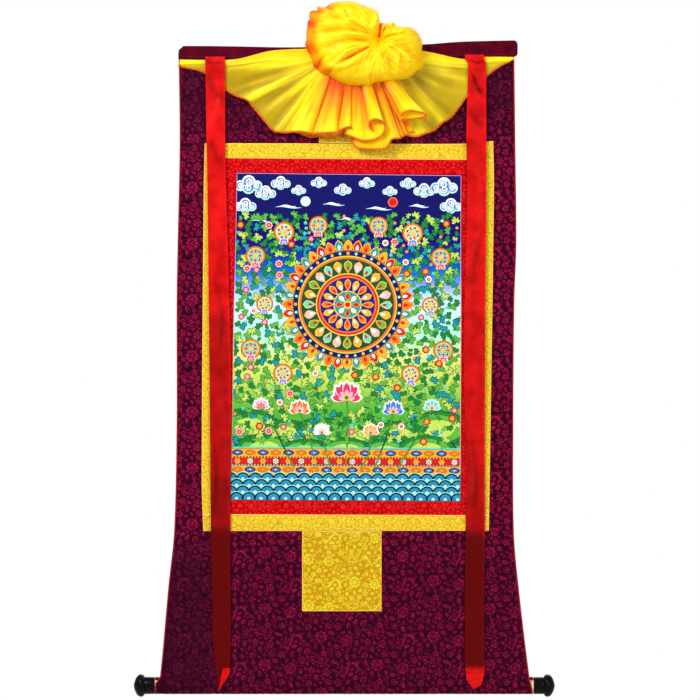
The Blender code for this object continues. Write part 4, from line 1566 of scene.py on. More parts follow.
@dataclass
class Picture:
    """The painted canvas: a generic garden under a night sky, with a petalled wheel over a lotus pond."""

    scatter: Recipe
    width: float = 450.0
    height: float = 654.0
    thickness: float = 1.2
    seed: int = 23
    start: float = 254.0
    middle: tuple = (0.0, -262.0)
    # The ground's colours, by drop from the picture's upper edge
    bands: tuple = ((0, Hue.NAVY), (95, Hue.NAVY), (150, Hue.NIGHT), (205, Hue.SKY), (265, Hue.PALE), (320,
        Hue.MINT), (370, Hue.CREAM), (410, Hue.LIME), (465, Hue.GRASS), (530, Hue.GRASS), (600, Hue.TEAL),
        (654, Hue.TEAL))

    def place(self, x: Array, y: Array) -> tuple[Array, Array]:
        """From the drawing's x and y, with the origin at its top middle, to x and drop on the cloth."""
        return PICTURE.net(np.clip(x / self.width + 0.5, 0.002, 0.998), np.clip(-y / self.height, 0.0015,
            0.9985))

    def lay(self, name: str, mesh: Mesh) -> Object:
        """Lays a flat drawing on the hanging canvas.

        Args:
            name: The new piece's name.
            mesh: The drawing, in millimetres, with its paint.

        Returns:
            The piece.
        """
        co = points_of(mesh)
        placed = on_cloth(*self.place(co[:, 0], co[:, 1]), self.thickness + co[:, 2])
        mesh.vertices.foreach_set("co", placed.astype(np.float32).ravel())
        mesh.update()
        mesh.name = name
        if not mesh.materials:
            mesh.materials.append(PAINTED.material())
        return adopt(put_in(name, mesh), "painted_canvas")

    def canvas(self) -> Object:
        """The canvas with its painted sky, haze and meadow, its back bare.

        Returns:
            The object.
        """
        cloth = PICTURE.sheet("canvas", self.thickness, PAINTED, step=6.0)
        down = -points_of(cloth.data)[:, 2] / MM - self.start
        paint = np.clip(along(tuple((at, *hue.linear) for at, hue in self.bands), down), 0, 1)
        paint[len(down) // 2:] = Hue.COTTON.linear
        store(cloth.data, PAINT, "FLOAT_COLOR", paint)
        return cloth

    def build(self) -> None:
        """Makes the canvas and every painted layer on it."""
        cloth = self.canvas()
        adopt(cloth, "painted_canvas", "picture_canvas")
        drawn = {"painted_margin": self.margin(), "painted_sky_and_pond": self.setting(),
            "painted_wheel": self.wheel()}
        layers = [self.lay(name, shapes.mesh(name)) for name, shapes in drawn.items()] + [self.garden()]
        PICTURE.flat_size()
        PICTURE.area()

    def margin(self) -> PaintedShapes:
        """The thin pale margin that is left round the painting.

        Returns:
            Its shapes.
        """
        shapes, steps = PaintedShapes(), np.linspace(0, 1, 40)[:, None]
        w, h, m = self.width / 2, self.height, 1.7
        for sides in (((-w, -m), (w, -m), (-w, 0), (w, 0)), ((-w, -h), (w, -h), (-w, m - h), (w, m - h)), ((m
                - w, -h), (m - w, 0), (-w, -h), (-w, 0)), ((w, -h), (w, 0), (w - m, -h), (w - m, 0))):
            a, b, c, d = np.array(sides)
            low, top = a + (b - a) * steps, c + (d - c) * steps
            for k in range(len(steps) - 1):
                shapes.add(np.stack([low[k], low[k + 1], top[k + 1], top[k]]), Hue.PINK, 0.3)
        return shapes

    def setting(self) -> PaintedShapes:
        """Clouds, sun and moon, hills, the pond's waves and its lotus flowers.

        Returns:
            Its shapes.
        """
        shapes = PaintedShapes()
        draw = np.random.default_rng(self.seed)
        for x, y, size in ((-200, -24, 22), (-166, -40, 17), (-136, -20, 16), (-100, -34, 12), (-60, -18, 13),
                (-12, -32, 14), (36, -18, 13), (82, -34, 12), (118, -18, 13), (150, -32, 17), (190, -24, 22),
                (204, -62, 18), (-206, -66, 18)):
            for dx, dy, r, hue in ((-0.75, -0.1, 0.5, Hue.PALE), (0, 0.25, 0.62, Hue.WHITE), (0.75, -0.1, 0.5,
                    Hue.PALE), (0, -0.25, 0.6, Hue.MINT)):
                cx, cy = x + dx * size, y + dy * size
                shapes.discs(cx, cy, (r * size, 14, hue, 0.05 + 0.01 * (r > 0.55)), (r * size * 0.72, 12,
                    Hue.SKY, 0.07))
                curl = spiral(cx, cy, r * size * 0.62, r * size * 0.12, draw.uniform(0, 360), 1.6, 12)
                shapes.add(stroke(curl, np.full(12, size * 0.11)), Hue.WHITE, 0.09)
        for x, y, wide in ((-120, -68, 26), (-30, -62, 22), (60, -70, 26), (140, -64, 20), (-175, -96, 20),
                (178, -92, 22), (0, -92, 18)):
            path = np.stack([np.linspace(-wide, wide, 9), 1.5 * np.sin(np.linspace(0, 6, 9))], axis=1)
            taper = np.sin(np.linspace(0.1, 3.04, 9))
            shapes.add(stroke(path + (x, y), 3.2 * taper), Hue.PALE, 0.05)
            shapes.add(stroke(path * (0.6, 1) + (x, y + 2.4), 2.4 * taper), Hue.WHITE, 0.06)
        for x, hue, rim in ((-86, Hue.WHITE, Hue.PALE), (88, Hue.RED, Hue.ORANGE)):
            shapes.discs(x, -56, (10, 22, rim, 0.1), (7.6, 20, hue, 0.12))
        for k, (x, y, wide, high) in enumerate(((-190, -500, 60, 34), (-120, -516, 56, 30), (-50, -508, 50,
                26), (30, -512, 54, 28), (104, -518, 56, 30), (182, -502, 62, 36), (-160, -545, 60, 30), (-80,
                -552, 54, 26), (0, -548, 56, 24), (78, -552, 54, 28), (158, -546, 60, 30))):
            for step, (share, hue) in enumerate(((1.0, Hue.DEEP), (0.94, Hue.LEAF), (0.76, Hue.GRASS), (0.5,
                    Hue.LIME))):
                shapes.add(disc(0, 0, 1, 28) * (wide * share, high * share) + (x, y - high * 0.2), hue, 0.05
                    + k * 0.016 + step * 0.013)
        self.terrace(shapes, -548, 0.26)
        for row in range(4):
            for k in range(-1, 20):
                x = -self.width / 2 + (k + 0.5 * (row % 2)) * 24
                for step, (r, hue) in enumerate(((15, Hue.MINT), (13.6, Hue.NAVY), (10.4, Hue.TEAL), (6.8,
                        Hue.SKY), (3.4, Hue.MINT))):
                    shapes.add(disc(x, -612 - row * 13, r, 16), hue, 0.42 + row * 0.075 + step * 0.014)
        for k, (x, y, size, hue) in enumerate(((0, -452, 40, Hue.ROSE), (-92, -478, 28, Hue.ORANGE), (92,
                -478, 28, Hue.SKY), (-168, -470, 22, Hue.PINK), (168, -470, 22, Hue.AQUA), (-48, -520, 22,
                Hue.WHITE), (48, -520, 22, Hue.AMBER))):
            stem = smooth_path(((x, y), (x * 0.86 + 3, y - 40), (x * 0.6, -590)), 12)
            shapes.add(stroke(stem, np.full(12, 3.0)), Hue.DEEP, 0.27 + 0.014 * k)
            shapes.add(stroke(stem, np.full(12, 1.4)), Hue.GRASS, 0.29 + 0.014 * k)
            self.lotus(shapes, x, y, size, hue, 0.4)
        return shapes

    def terrace(self, shapes: PaintedShapes, top: float, level: float) -> None:
        """A terrace wall across the picture: gold and red courses with lozenges, and a rail of beads.

        Args:
            shapes: The shapes that it is added to.
            top: Its upper edge.
            level: Its height above the canvas, in millimetres.
        """
        box = np.array(((-0.5, -0.5), (0, -0.5), (0.5, -0.5), (0.5, 0.5), (0, 0.5), (-0.5, 0.5)))
        lozenge = np.array(((0, -0.5), (0.36, -0.3), (0.5, 0), (0.36, 0.3), (0, 0.5), (-0.36, 0.3), (-0.5, 0),
            (-0.36, -0.3)))
        for k in range(18):
            x = -self.width / 2 + (k + 0.5) * 25
            for high, y, hue, step in ((56, top - 28, Hue.BROWN, 0), (3, top - 1, Hue.AQUA, 1), (15, top - 11,
                    Hue.AMBER, 1), (14, top - 28, Hue.RED, 1), (15, top - 45, Hue.AMBER, 1), (3, top - 54.5,
                    Hue.AQUA, 1)):
                shapes.add(box * (25.2, high) + (x, y), hue, level + 0.014 * step)
            pairs = ((Hue.NAVY, Hue.SKY), (Hue.OCHRE, Hue.ORANGE))
            for y, turn in ((top - 11, k), (top - 45, k + 1)):
                rim, heart = pairs[turn % 2]
                for size, hue, step in (((23, 13), rim, 0.03), ((16, 8), heart, 0.044), ((5, 3), Hue.GOLD,
                        0.058)):
                    shapes.add(lozenge * size + (x, y), hue, level + step)
            for part in flower(x, top - 28, 6.0, 6, 30 * k):
                shapes.add(part, (Hue.GOLD, Hue.MINT)[k % 2], level + 0.03)
            for dx in (-9.4, -3.1, 3.1, 9.4):
                shapes.add(disc(x + dx, top - 20, 1.5, 8), Hue.GOLD, level + 0.03)
                shapes.add(disc(x + dx, top - 36, 1.5, 8), Hue.AQUA, level + 0.03)

    @staticmethod
    def lotus(shapes: PaintedShapes, x: float, y: float, size: float, hue: Hue, level: float) -> None:
        """An open lotus seen from the side, with a pod in its heart.

        Args:
            shapes: The shapes that it is added to.
            x: Where its heart is, across.
            y: Where its heart is, upwards.
            size: How far its petals reach.
            hue: The petals' hue.
            level: Its height above the canvas, in millimetres.
        """
        heart = Hue.ROSE if hue is Hue.PINK else Hue.PINK
        for angles, long, rise in (((-82, -58, 58, 82), 0.82, 0.0), ((-40, -20, 20, 40), 0.95, 0.05), ((0,),
                0.98, 0.1)):
            for k, angle in enumerate(angles):
                for share, colour, step in ((1.0, Hue.WHITE, 0.0), (0.86, hue, 0.012), (0.5, heart, 0.024)):
                    grown = petal(size * long * share, size * 0.42 * share, 12, 0.55)
                    shapes.add(turned(grown, angle, x, y + 0.02 * size), colour, level + rise + step + 0.002
                        * k)
        shapes.discs(x, y + size * 0.1, (size * 0.16, 12, Hue.GOLD, level + 0.17), (size * 0.1, 10, Hue.LEAF,
            level + 0.18))

    def wheel(self) -> PaintedShapes:
        """The wheel of petals in the middle, and small petalled roundels about it.

        Returns:
            Its shapes.
        """
        shapes, (x, y) = PaintedShapes(), self.middle
        shapes.ring(x, y, 104, 132, 40, (Hue.ORANGE, Hue.RED, Hue.AMBER, Hue.TEAL), 0.3, 1.05, 0, 0.42)
        shapes.discs(x, y, (110, 72, Hue.OCHRE, 0.4), (107.5, 72, Hue.NAVY, 0.42), (98, 72, Hue.GOLD, 0.44),
            (95.5, 72, Hue.ORANGE, 0.46), (92, 72, Hue.DEEP, 0.48))
        for k in range(40):
            for radius, sides, hues, level in ((3.2, 8, (Hue.GOLD, Hue.AQUA), 0.46), (1.4, 6, (Hue.RED,
                    Hue.WHITE), 0.48)):
                shapes.add(turned(disc(0, 102.8, radius, sides), 360 * k / 40, x, y), hues[k % 2], level)
        shapes.ring(x, y, 62, 90, 24, (Hue.AQUA, Hue.PINK, Hue.GRASS, Hue.AMBER), 0.5, 0.92)
        shapes.discs(x, y, (63, 60, Hue.GOLD, 0.56), (60.5, 60, Hue.RED, 0.58), (57, 60, Hue.ORANGE, 0.6),
            (54, 60, Hue.NIGHT, 0.62))
        shapes.ring(x, y, 26, 53, 16, (Hue.ORANGE, Hue.AMBER), 0.64, 0.9)
        shapes.discs(x, y, (28, 40, Hue.GOLD, 0.7), (26, 40, Hue.TEAL, 0.72))
        shapes.ring(x, y, 7, 25, 8, (Hue.RED, Hue.WHITE), 0.74, 0.85)
        shapes.discs(x, y, (8, 20, Hue.GOLD, 0.8), (5, 16, Hue.RED, 0.82))
        for rx, ry, reach, kind in self.roundels():
            mint, heart = ((Hue.AQUA, Hue.ROSE), (Hue.MINT, Hue.ORANGE))[kind]
            shapes.discs(rx, ry, (reach, 26, Hue.BROWN, 0.3), (reach * 0.95, 26, Hue.ORANGE, 0.32), (reach
                * 0.8, 26, Hue.GOLD, 0.34), (reach * 0.74, 26, mint, 0.36))
            shapes.ring(rx, ry, reach * 0.2, reach * 0.7, 8, (heart, Hue.NIGHT), 0.38, 0.9, 22.5 * kind)
            shapes.discs(rx, ry, (reach * 0.22, 12, Hue.GOLD, 0.44))
            self.lotus(shapes, rx, ry - reach * 1.12, reach * 0.62, (Hue.ROSE, Hue.SKY)[kind], 0.3)
        return shapes

    @staticmethod
    def roundels() -> list[tuple]:
        """Places and sizes of the roundels: x, y, reach and which of two kinds."""
        half = ((60, -104, 19, 0), (128, -118, 21, 1), (184, -166, 20, 0), (164, -262, 17, 1), (190, -352, 20,
            0), (126, -400, 19, 1))
        return [(side * x, y, reach, kind) for x, y, reach, kind in half for side in (-1, 1)]

    def garden(self) -> Object:
        """Vines, leaves and flowers over the sky and the meadow, set by their own tree.

        Returns:
            The piece.
        """
        kinds = bpy.data.collections.new("garden_motifs")
        bpy.context.scene.collection.children.link(kinds)
        for number, shapes in enumerate(self.kinds()):
            name = f"motif_{number:02d}"
            kinds.objects.link(bpy.data.objects.new(name, shapes.mesh(name)))
        rows = self.growth()
        base = plain_mesh("growth", [(x, y, 0.004 * (k % 40)) for k, (x, y, *_) in enumerate(rows)])
        for label, column, form in (("kind", 2, "INT"), ("turn", 3, "FLOAT"), ("size", 4, "FLOAT")):
            store(base, label, form, [row[column] for row in rows])
        mesh = self.scatter.run(base, Motifs=kinds, Finish=PAINTED.material())
        for thing in list(kinds.objects):
            bpy.data.objects.remove(thing)
        bpy.data.collections.remove(kinds)
        return self.lay("painted_garden", mesh)

    @staticmethod
    def kinds() -> list[PaintedShapes]:
        """The motifs that the garden is grown from: four leaves, four peonies and two blossoms.

        Returns:
            The shapes of each.
        """
        leaves = ((Hue.DEEP, Hue.LEAF), (Hue.DEEP, Hue.GRASS), (Hue.NAVY, Hue.TEAL), (Hue.DEEP, Hue.LIME))
        peonies = ((Hue.ROSE, Hue.PINK), (Hue.WHITE, Hue.ROSE), (Hue.RED, Hue.AMBER), (Hue.PINK, Hue.RED))
        made = [PaintedShapes() for _ in range(10)]
        for shapes, (dark, light) in zip(made, leaves):
            for k, (angle, long) in enumerate(((-76, 0.72), (76, 0.72), (-38, 0.9), (38, 0.9), (0, 1.0))):
                vein = petal(9.0 * long, 3.3, 6, 0.5) + (0, 0.9)
                shapes.add(turned(petal(11 * long, 5.4, 8, 0.5), angle, 0, 0), dark, 0.05 + 0.013 * k)
                shapes.add(turned(vein, angle, 0, 0), light, 0.13 + 0.013 * k)
        for shapes, (outer, inner) in zip(made[4:], peonies):
            for k in range(7):
                for long, wide, sides, shift, hue, level in ((8.0, 6.2, 8, 0, Hue.BROWN, 0.2), (7.2, 5.2, 8,
                        0, outer, 0.214 + 0.012 * k), (4.6, 3.4, 6, 0.5, inner, 0.3 + 0.012 * k)):
                    shapes.add(turned(petal(long, wide, sides, 0.65), 360 * (k + shift) / 7, 0, 0), hue,
                        level)
            shapes.discs(0, 0, (1.7, 8, Hue.GOLD, 0.4))
        for shapes, hue in zip(made[8:], (Hue.AMBER, Hue.AQUA)):
            for k in range(5):
                shapes.add(turned(petal(4.6, 3.6, 6, 0.6), 72 * k, 0, 0), hue, 0.2 + 0.012 * k)
            shapes.discs(0, 0, (1.4, 7, Hue.RED, 0.28))
        return made

    def growth(self) -> list[tuple]:
        """Where the garden's motifs stand.

        Returns:
            Rows of x, y, kind, turn in radians and size.
        """
        draw = np.random.default_rng(self.seed + 1)
        rows, taken = [], [(*self.middle, 124.0)]
        taken += [(x, y, r * 0.9) for x, y, r, _ in self.roundels()]
        taken += [(x, y + 6, r) for x, y, r in ((0, -452, 30), (-92, -478, 22), (92, -478, 22), (-168, -470,
            17), (168, -470, 17))]
        for reach, tries, kinds, size in ((8.6, 90, (4, 5, 6, 7), 1.0), (6.6, 6000, (0, 1, 0, 1, 2, 3), 1.15),
                (4.2, 1200, (8, 9), 0.8), (4.0, 4000, (0, 1, 0, 3), 0.75)):
            for x, y, turn, pick in draw.random((tries, 4)):
                x, y = (x - 0.5) * (self.width - 10), -84 - y * 452
                if all((x - a) ** 2 + (y - b) ** 2 > (r + reach * 0.86) ** 2 for a, b, r in taken):
                    taken.append((x, y, reach * 0.86))
                    rows.append((x, y, kinds[int(pick * len(kinds))], turn * math.tau, size * (0.85 + 0.3
                        * pick)))
        return rows


@dataclass
class Heading:
    """The plain top sleeve over its lath, with its seam stitched along."""

    sewn: Sewn
    # Where the sleeve is cut back at its ends: x, from its top and from its seam
    stations: tuple = ((-337.5, 14, 0.4), (-336.5, 8.5, 0), (-327.5, 0.6, 0), (-280, 0, 0), (-200, 0, 0),
        (-111, 0, 0), (0, 0, 0), (90, 0, 0), (153, 0, 0), (225, 0, 0), (300, 0, 0), (333, 0.2, 0), (337.5,
        2.5, 1.5), (339.5, 8, 6))
    # The sleeve's section: lift, and share of the way down from its top to its seam
    section: tuple = ((-2.5, 1.0), (0.5, 1.0), (3.4, 0.99), (4.3, 0.94), (4.5, 0.86), (4.45, 0.6), (4.5,
        0.35), (4.4, 0.16), (3.9, 0.06), (2.6, 0.01), (0.5, -0.005), (-2.5, 0.0))
    # Ripples of its front: height, turn for each millimetre, start
    ripples: tuple = ((0.22, 0.11, 0.0), (0.16, 0.27, 1.3), (0.1, 0.61, 0.4))
    front_from: float = 3.0
    stitch_lift: float = 4.75
    stitch_insets: tuple = (3.4, 5.2)

    def build(self) -> None:
        """Makes the sleeve and its stitches."""
        table = np.array(self.stations, float)
        x = np.unique(np.concatenate([table[:, 0], np.linspace(-330, 332, 150)]))
        cuts = np.stack([np.interp(x, table[:, 0], table[:, k]) for k in (1, 2)], axis=1)
        top = seam_drop("heading_top", x) + cuts[:, 0]
        low = seam_drop("heading_seam", x) - SEAM_GAP / 2 - cuts[:, 1]
        ripple = sum(high * np.sin(x * fast + start) for high, fast, start in self.ripples)
        rings = [np.stack([x, -(lift + ripple * (lift > self.front_from)), -(top + (low - top) * share)],
            axis=1) for lift, share in self.section]
        points = np.stack(rings, axis=1) * MM
        many, around = points.shape[:2]
        faces = tube_faces(many, around)[:, ::-1].tolist()
        faces += [tuple(range(around)), tuple(range((many - 1) * around, many * around))[::-1]]
        flat = np.stack([np.repeat(x, around) * MM, np.tile(np.arange(around) * 4 * MM, many)], axis=1)
        sleeve = make_object("heading_sleeve", points.reshape(-1, 3), faces, HEADING_COTTON, flat)
        fix_outward(sleeve)
        adopt(sleeve, "heading_cloth", "heading")
        x = np.linspace(-330, 330, 200)
        rows = [np.stack([x, np.full(200, -self.stitch_lift), inset - seam_drop("heading_seam", x)], axis=1)
            * MM for inset in self.stitch_insets]
        thread = self.sewn.thread("heading_stitch", 2.8, 0.26)
        adopt(self.sewn.sew("heading_stitches", rows, 4.0, thread, MAROON_THREAD), "heading_cloth")


def fix_outward(piece: Object) -> None:
    """Turns every face of a closed piece outwards."""
    mesh = bmesh.new()
    mesh.from_mesh(piece.data)
    bmesh.ops.recalc_face_normals(mesh, faces=mesh.faces[:])
    mesh.to_mesh(piece.data)
    mesh.free()


@dataclass(frozen=True)
class Fold:
    """A fold: its path as x and drop by turns, its half widths, its height and its tone, which is painted
    shade where positive and a painted highlight where negative.
    """

    path: tuple
    low_side: float
    high_side: float
    height: float
    tone: float = 0.0

    def on(self, x: Array, drop: Array) -> Array:
        """How strongly the fold stands at each place, from 0 to 1.

        Args:
            x: Places across, in millimetres.
            drop: Places down, in millimetres.

        Returns:
            The strength, which fades at the path's two ends and off to its sides.
        """
        line = smooth_path(np.reshape(self.path, (-1, 2)), 13)
        start, way = line[:-1], np.diff(line, axis=0)
        off_x, off_drop = x[..., None] - start[:, 0], drop[..., None] - start[:, 1]
        t = np.clip((off_x * way[:, 0] + off_drop * way[:, 1]) / (way**2).sum(axis=1), 0, 1)
        gap = np.hypot(off_x - t * way[:, 0], off_drop - t * way[:, 1])
        best = gap.argmin(axis=-1)[..., None]
        side = way[:, 0] * off_drop - way[:, 1] * off_x
        near, t, side = (np.take_along_axis(v, best, -1)[..., 0] for v in (gap, t, side))
        share = (best[..., 0] + t) / len(way)
        wide = np.where(side > 0, self.low_side, self.high_side)
        return ease(share / 0.2) * (0.35 + 0.65 * ease((1 - share) / 0.3)) * np.exp(-(near / wide) ** 2)


@dataclass
class Ribbons:
    """Two satin ribbons that hang free in front, their ends folded to a point."""

    thickness: float = 0.8
    columns: int = 15
    left: tuple = ((22, -284, -244.4, 5.4), (25.5, -284, -244.4, 6.0), (30, -284, -244.4, 7.4), (36, -284,
        -244.2, 9.0), (39.5, -283.5, -244, 9.8), (44, -283.5, -244, 9.0), (62, -283, -244, 8.4), (167, -281.6,
        -244, 7.8), (287, -279.4, -242, 7.2), (447, -277.6, -237.5, 6.8), (607, -275.8, -233, 6.4), (787,
        -274.2, -233, 6.0), (967, -272.6, -233.4, 5.6), (1107, -269.8, -233, 5.2), (1187, -269, -233, 5.0),
        (1217, -264.2, -233.4, 4.9), (1241, -262.4, -234.2, 4.8), (1255, -261.2, -236.6, 4.7), (1277, -259.6,
        -250.4, 4.6), (1288, -258.7, -255.8, 4.7), (1289.4, -258.5, -256.3, 5.8), (1288, -258.3, -255.8, 6.9),
        (1277, -255.6, -250.4, 7.1), (1255, -251.4, -236.6, 7.2), (1241, -248.4, -234.2, 7.0))
    right: tuple = ((18, 234.2, 272.6, 5.4), (21, 234.3, 272.7, 6.0), (26, 234.6, 272.9, 7.6), (31, 236.5,
        274.5, 9.6), (35, 240, 276.4, 9.6), (48, 240, 276.4, 8.8), (80, 239.4, 276.6, 8.2), (167, 237, 277,
        7.8), (287, 238.4, 277, 7.2), (447, 235.2, 275.8, 6.8), (597, 232, 274.6, 6.4), (787, 235, 274.1,
        6.0), (969, 235.6, 274, 5.6), (1107, 234, 273, 5.2), (1187, 234, 273, 5.0), (1227, 234, 273.4, 4.9),
        (1247, 236, 273, 4.8), (1263, 237.8, 270.2, 4.7), (1275, 245, 266, 4.6), (1281.5, 249.6, 255.5, 4.7),
        (1283, 250.2, 253.4, 5.8), (1281.5, 249.6, 255.5, 6.9), (1275, 245, 266, 7.1), (1263, 237.8, 270.2,
        7.2), (1252, 236.4, 272.8, 7.0))
    # Folds: path, half widths, height, and tone as painted shade in hollows and painted highlight on ridges
    folds: tuple = tuple(Fold(*row) for row in (((-284, 29, -264, 36, -244, 33), 3, 3, -2.0, 0.4), ((-284, 24,
        -264, 28, -244, 25), 2, 2, 1.2, -0.1), ((-280, 52, -266, 90, -250, 110), 7, 8, -1.8, 0.3), ((-250, 96,
        -262, 140, -278, 176), 7, 5, 1.8, -0.1), ((-276, 180, -262, 220, -248, 240), 7, 7, -1.6, 0.26),
        ((-250, 290, -262, 370, -258, 450), 5, 7, 1.6, -0.08), ((-266, 460, -250, 540, -256, 620), 6, 6, -1.5,
        0.22), ((-258, 690, -250, 760, -246, 840), 4, 6, 1.5, -0.06), ((-268, 780, -262, 850, -266, 930), 4,
        4, -1.2, 0.18), ((241, 27, 258, 34, 276, 31), 3, 3, -2.0, 0.4), ((246, 54, 256, 82, 271, 102), 1.6, 8,
        -3.0, 0.55), ((252, 50, 262, 74, 275, 94), 5, 2, 2.0, -0.1), ((243, 120, 256, 150, 272, 165), 8, 6,
        -1.6, 0.26), ((248, 235, 262, 300, 258, 370), 5, 6, 1.7, -0.08), ((268, 370, 252, 440, 248, 530), 6,
        6, -1.5, 0.2), ((264, 550, 252, 640, 258, 730), 6, 5, 1.6, -0.06), ((246, 770, 256, 860, 252, 930), 5,
        5, -1.4, 0.2)))

    def build(self) -> None:
        """Makes both ribbons."""
        for side, rows, phase, lit, dim in (("left", self.left, 0.0, 18, 0.34), ("right", self.right, 2.1, 15,
                0.14)):
            piece = self.ribbon(f"satin_ribbon_{side}", rows, phase, lit, dim)
            adopt(piece, "red_satin", f"ribbon_{side}")
            length = sum(math.hypot(b[0] - a[0], b[3] - a[3]) for a, b in zip(rows, rows[1:]))

    def ribbon(self, name: str, rows: tuple, phase: float, lit: int, dim: float) -> Object:
        """One ribbon along its table, with long soft folds down its length, and painted shade and highlights
        in its tone.

        Args:
            name: The piece's name.
            rows: Rows of drop, x of both edges, and lift.
            phase: Where its folds start, in radians.
            lit: The row from which its tip hangs in the light again.
            dim: How much painted shade its lower half has.

        Returns:
            The object.
        """
        way = np.concatenate([[0], np.cumsum([max(math.hypot(b[0] - a[0], b[3] - a[3]), 0.5) for a,
            b in zip(rows, rows[1:])])])
        table = tuple((s, *row) for s, row in zip(way, rows))
        steps = np.unique(np.concatenate([np.arange(0, 200, 4.0), np.arange(200, way[-1], 9.0), way,
            np.arange(way[15], way[-1], 3.0)]))
        line = along(table, steps)
        t = np.linspace(-1, 1, self.columns)
        drop = np.repeat(line[:, :1], self.columns, axis=1)
        centre, half = (line[:, 1:2] + line[:, 2:3]) / 2, (line[:, 2:3] - line[:, 1:2]) / 2
        full = np.clip(half / 18, 0, 1)
        s = steps[:, None]
        wave = (0.5 * np.cos(math.pi * t / 2) + 0.4 * np.sin(2.6 * t + s * 0.004 + phase) + 0.25 * np.sin(5.2
            * t - s * 0.007 + phase * 2) + 0.3 * np.sin(s * 0.021 + t * 1.4 + phase) * np.cos(s * 0.0049))
        calm = ease(s / 40) * ease((way[-1] - 70 - s) / 60)
        x = centre + half * t
        lift = line[:, 3:4] + wave * full * (0.25 + 0.75 * calm)
        # Painted shade: darker below the middle and low down, where the ribbon hangs out of the light, and
        # lifted again from the tip's row on
        dark = (ease((drop - 950) / 60) + dim * ease((drop - 510) / 50) + 0.26 * ease((drop - 820) / 60))
        dark = dark * (1 - ease((s - way[lit]) / 22))
        # Painted shade in the folds' hollows, painted highlights on their ridges
        for fold in self.folds:
            there = fold.on(x, drop) * (s < way[15])
            lift, dark = lift + fold.height * there, dark + 1.4 * fold.tone * there
        # A little painted shade all over, and a painted highlight along the right edge
        dark = dark + 0.14 - 0.2 * ease((t - 0.7) / 0.2)
        middle = np.stack([x, -lift, -drop], axis=2) * MM
        points, faces = thicken(middle, self.thickness * MM)
        flat = np.stack(np.broadcast_arrays(t * 0.02, -s * MM), axis=2).reshape(-1, 2)
        dark = np.clip(dark, 0, 1).ravel()
        return make_object(name, points, faces, RIBBON_SATIN, np.tile(flat, (2, 1)), {TONE: np.tile(dark, 2)})


@dataclass(frozen=True)
class Drape:
    """One length of the silk, from its gathers to its hem.

    Each row has hem x, drop and lift, gather x, drop and lift, the share of the top edge's sag that it
    takes, and the silk's tone at the gather and at the hem, which is partly painted shade. Rows that step
    back in x are pleats laid over each other. The top edge's line belongs to the first row, or to the last
    one.
    """

    rows: tuple
    top: tuple = ()
    corner: int = 0

    def points(self, fold: Array, out: Array) -> tuple[Array, Array]:
        """Points on the silk.

        Args:
            fold: Places along the rows.
            out: Shares from the gather to the hem.

        Returns:
            Points in metres, and the silk's tone there, with its painted highlights and shade.
        """
        table = np.array(self.rows, float)
        smooth = along(tuple((k, *row) for k, row in enumerate(self.rows)), fold)
        smooth = smooth.reshape(*fold.shape, -1)
        k = np.clip(fold.astype(int), 0, len(table) - 2)
        soft = table[k] + (table[k + 1] - table[k]) * ease(fold - k)[..., None]
        hem_x, hem_drop, gather_x, gather_drop = (smooth[..., i] for i in (0, 1, 3, 4))
        x = gather_x * (1 - out) + hem_x * out
        drop = gather_drop * (1 - out) + hem_drop * out
        settled = ease(out * 1.35)
        lift = soft[..., 5] * (1 - settled) + soft[..., 2] * settled
        if self.top:
            first, follow = table[self.corner], soft[..., 6]
            share = np.clip((x - first[3]) / (first[0] - first[3]), 0, 1)
            sag = along(self.top, x)[:, 0].reshape(x.shape) - first[4] - (first[1] - first[4]) * share
            drop = drop + follow * sag
            inner = np.minimum(x + 225, 234 - x) / 14
            over = np.maximum(lift, 7.4 * ease(inner))
            lift = np.where((follow > 0.3) & (inner > 0), over, lift)
        wide = np.hypot(np.gradient(x, axis=1), np.gradient(drop, axis=1)) / np.gradient(fold, axis=1)
        rise = np.clip(wide * 0.05, 0, 1.1) * np.sin(math.pi * np.clip(out, 0, 1)) ** 0.6
        wrinkle = (np.sin(fold * 5.3 + out * 2.0) + 0.7 * np.sin(fold * 9.1 - out * 4.0 + 1.0) + 0.4
            * np.sin(fold * 3.7 + out * 9.0 + 2.0))
        # Tone from gather to hem, with painted highlights where the wrinkles stand forward and painted shade
        # where they sink
        share = ease(out * 1.1 - 0.1)
        tone = soft[..., 7] * (1 - share) + soft[..., 8] * share - 0.05 * wrinkle * rise
        return np.stack([x, -(lift + 0.5 * rise * wrinkle), -drop], axis=-1) * MM, tone


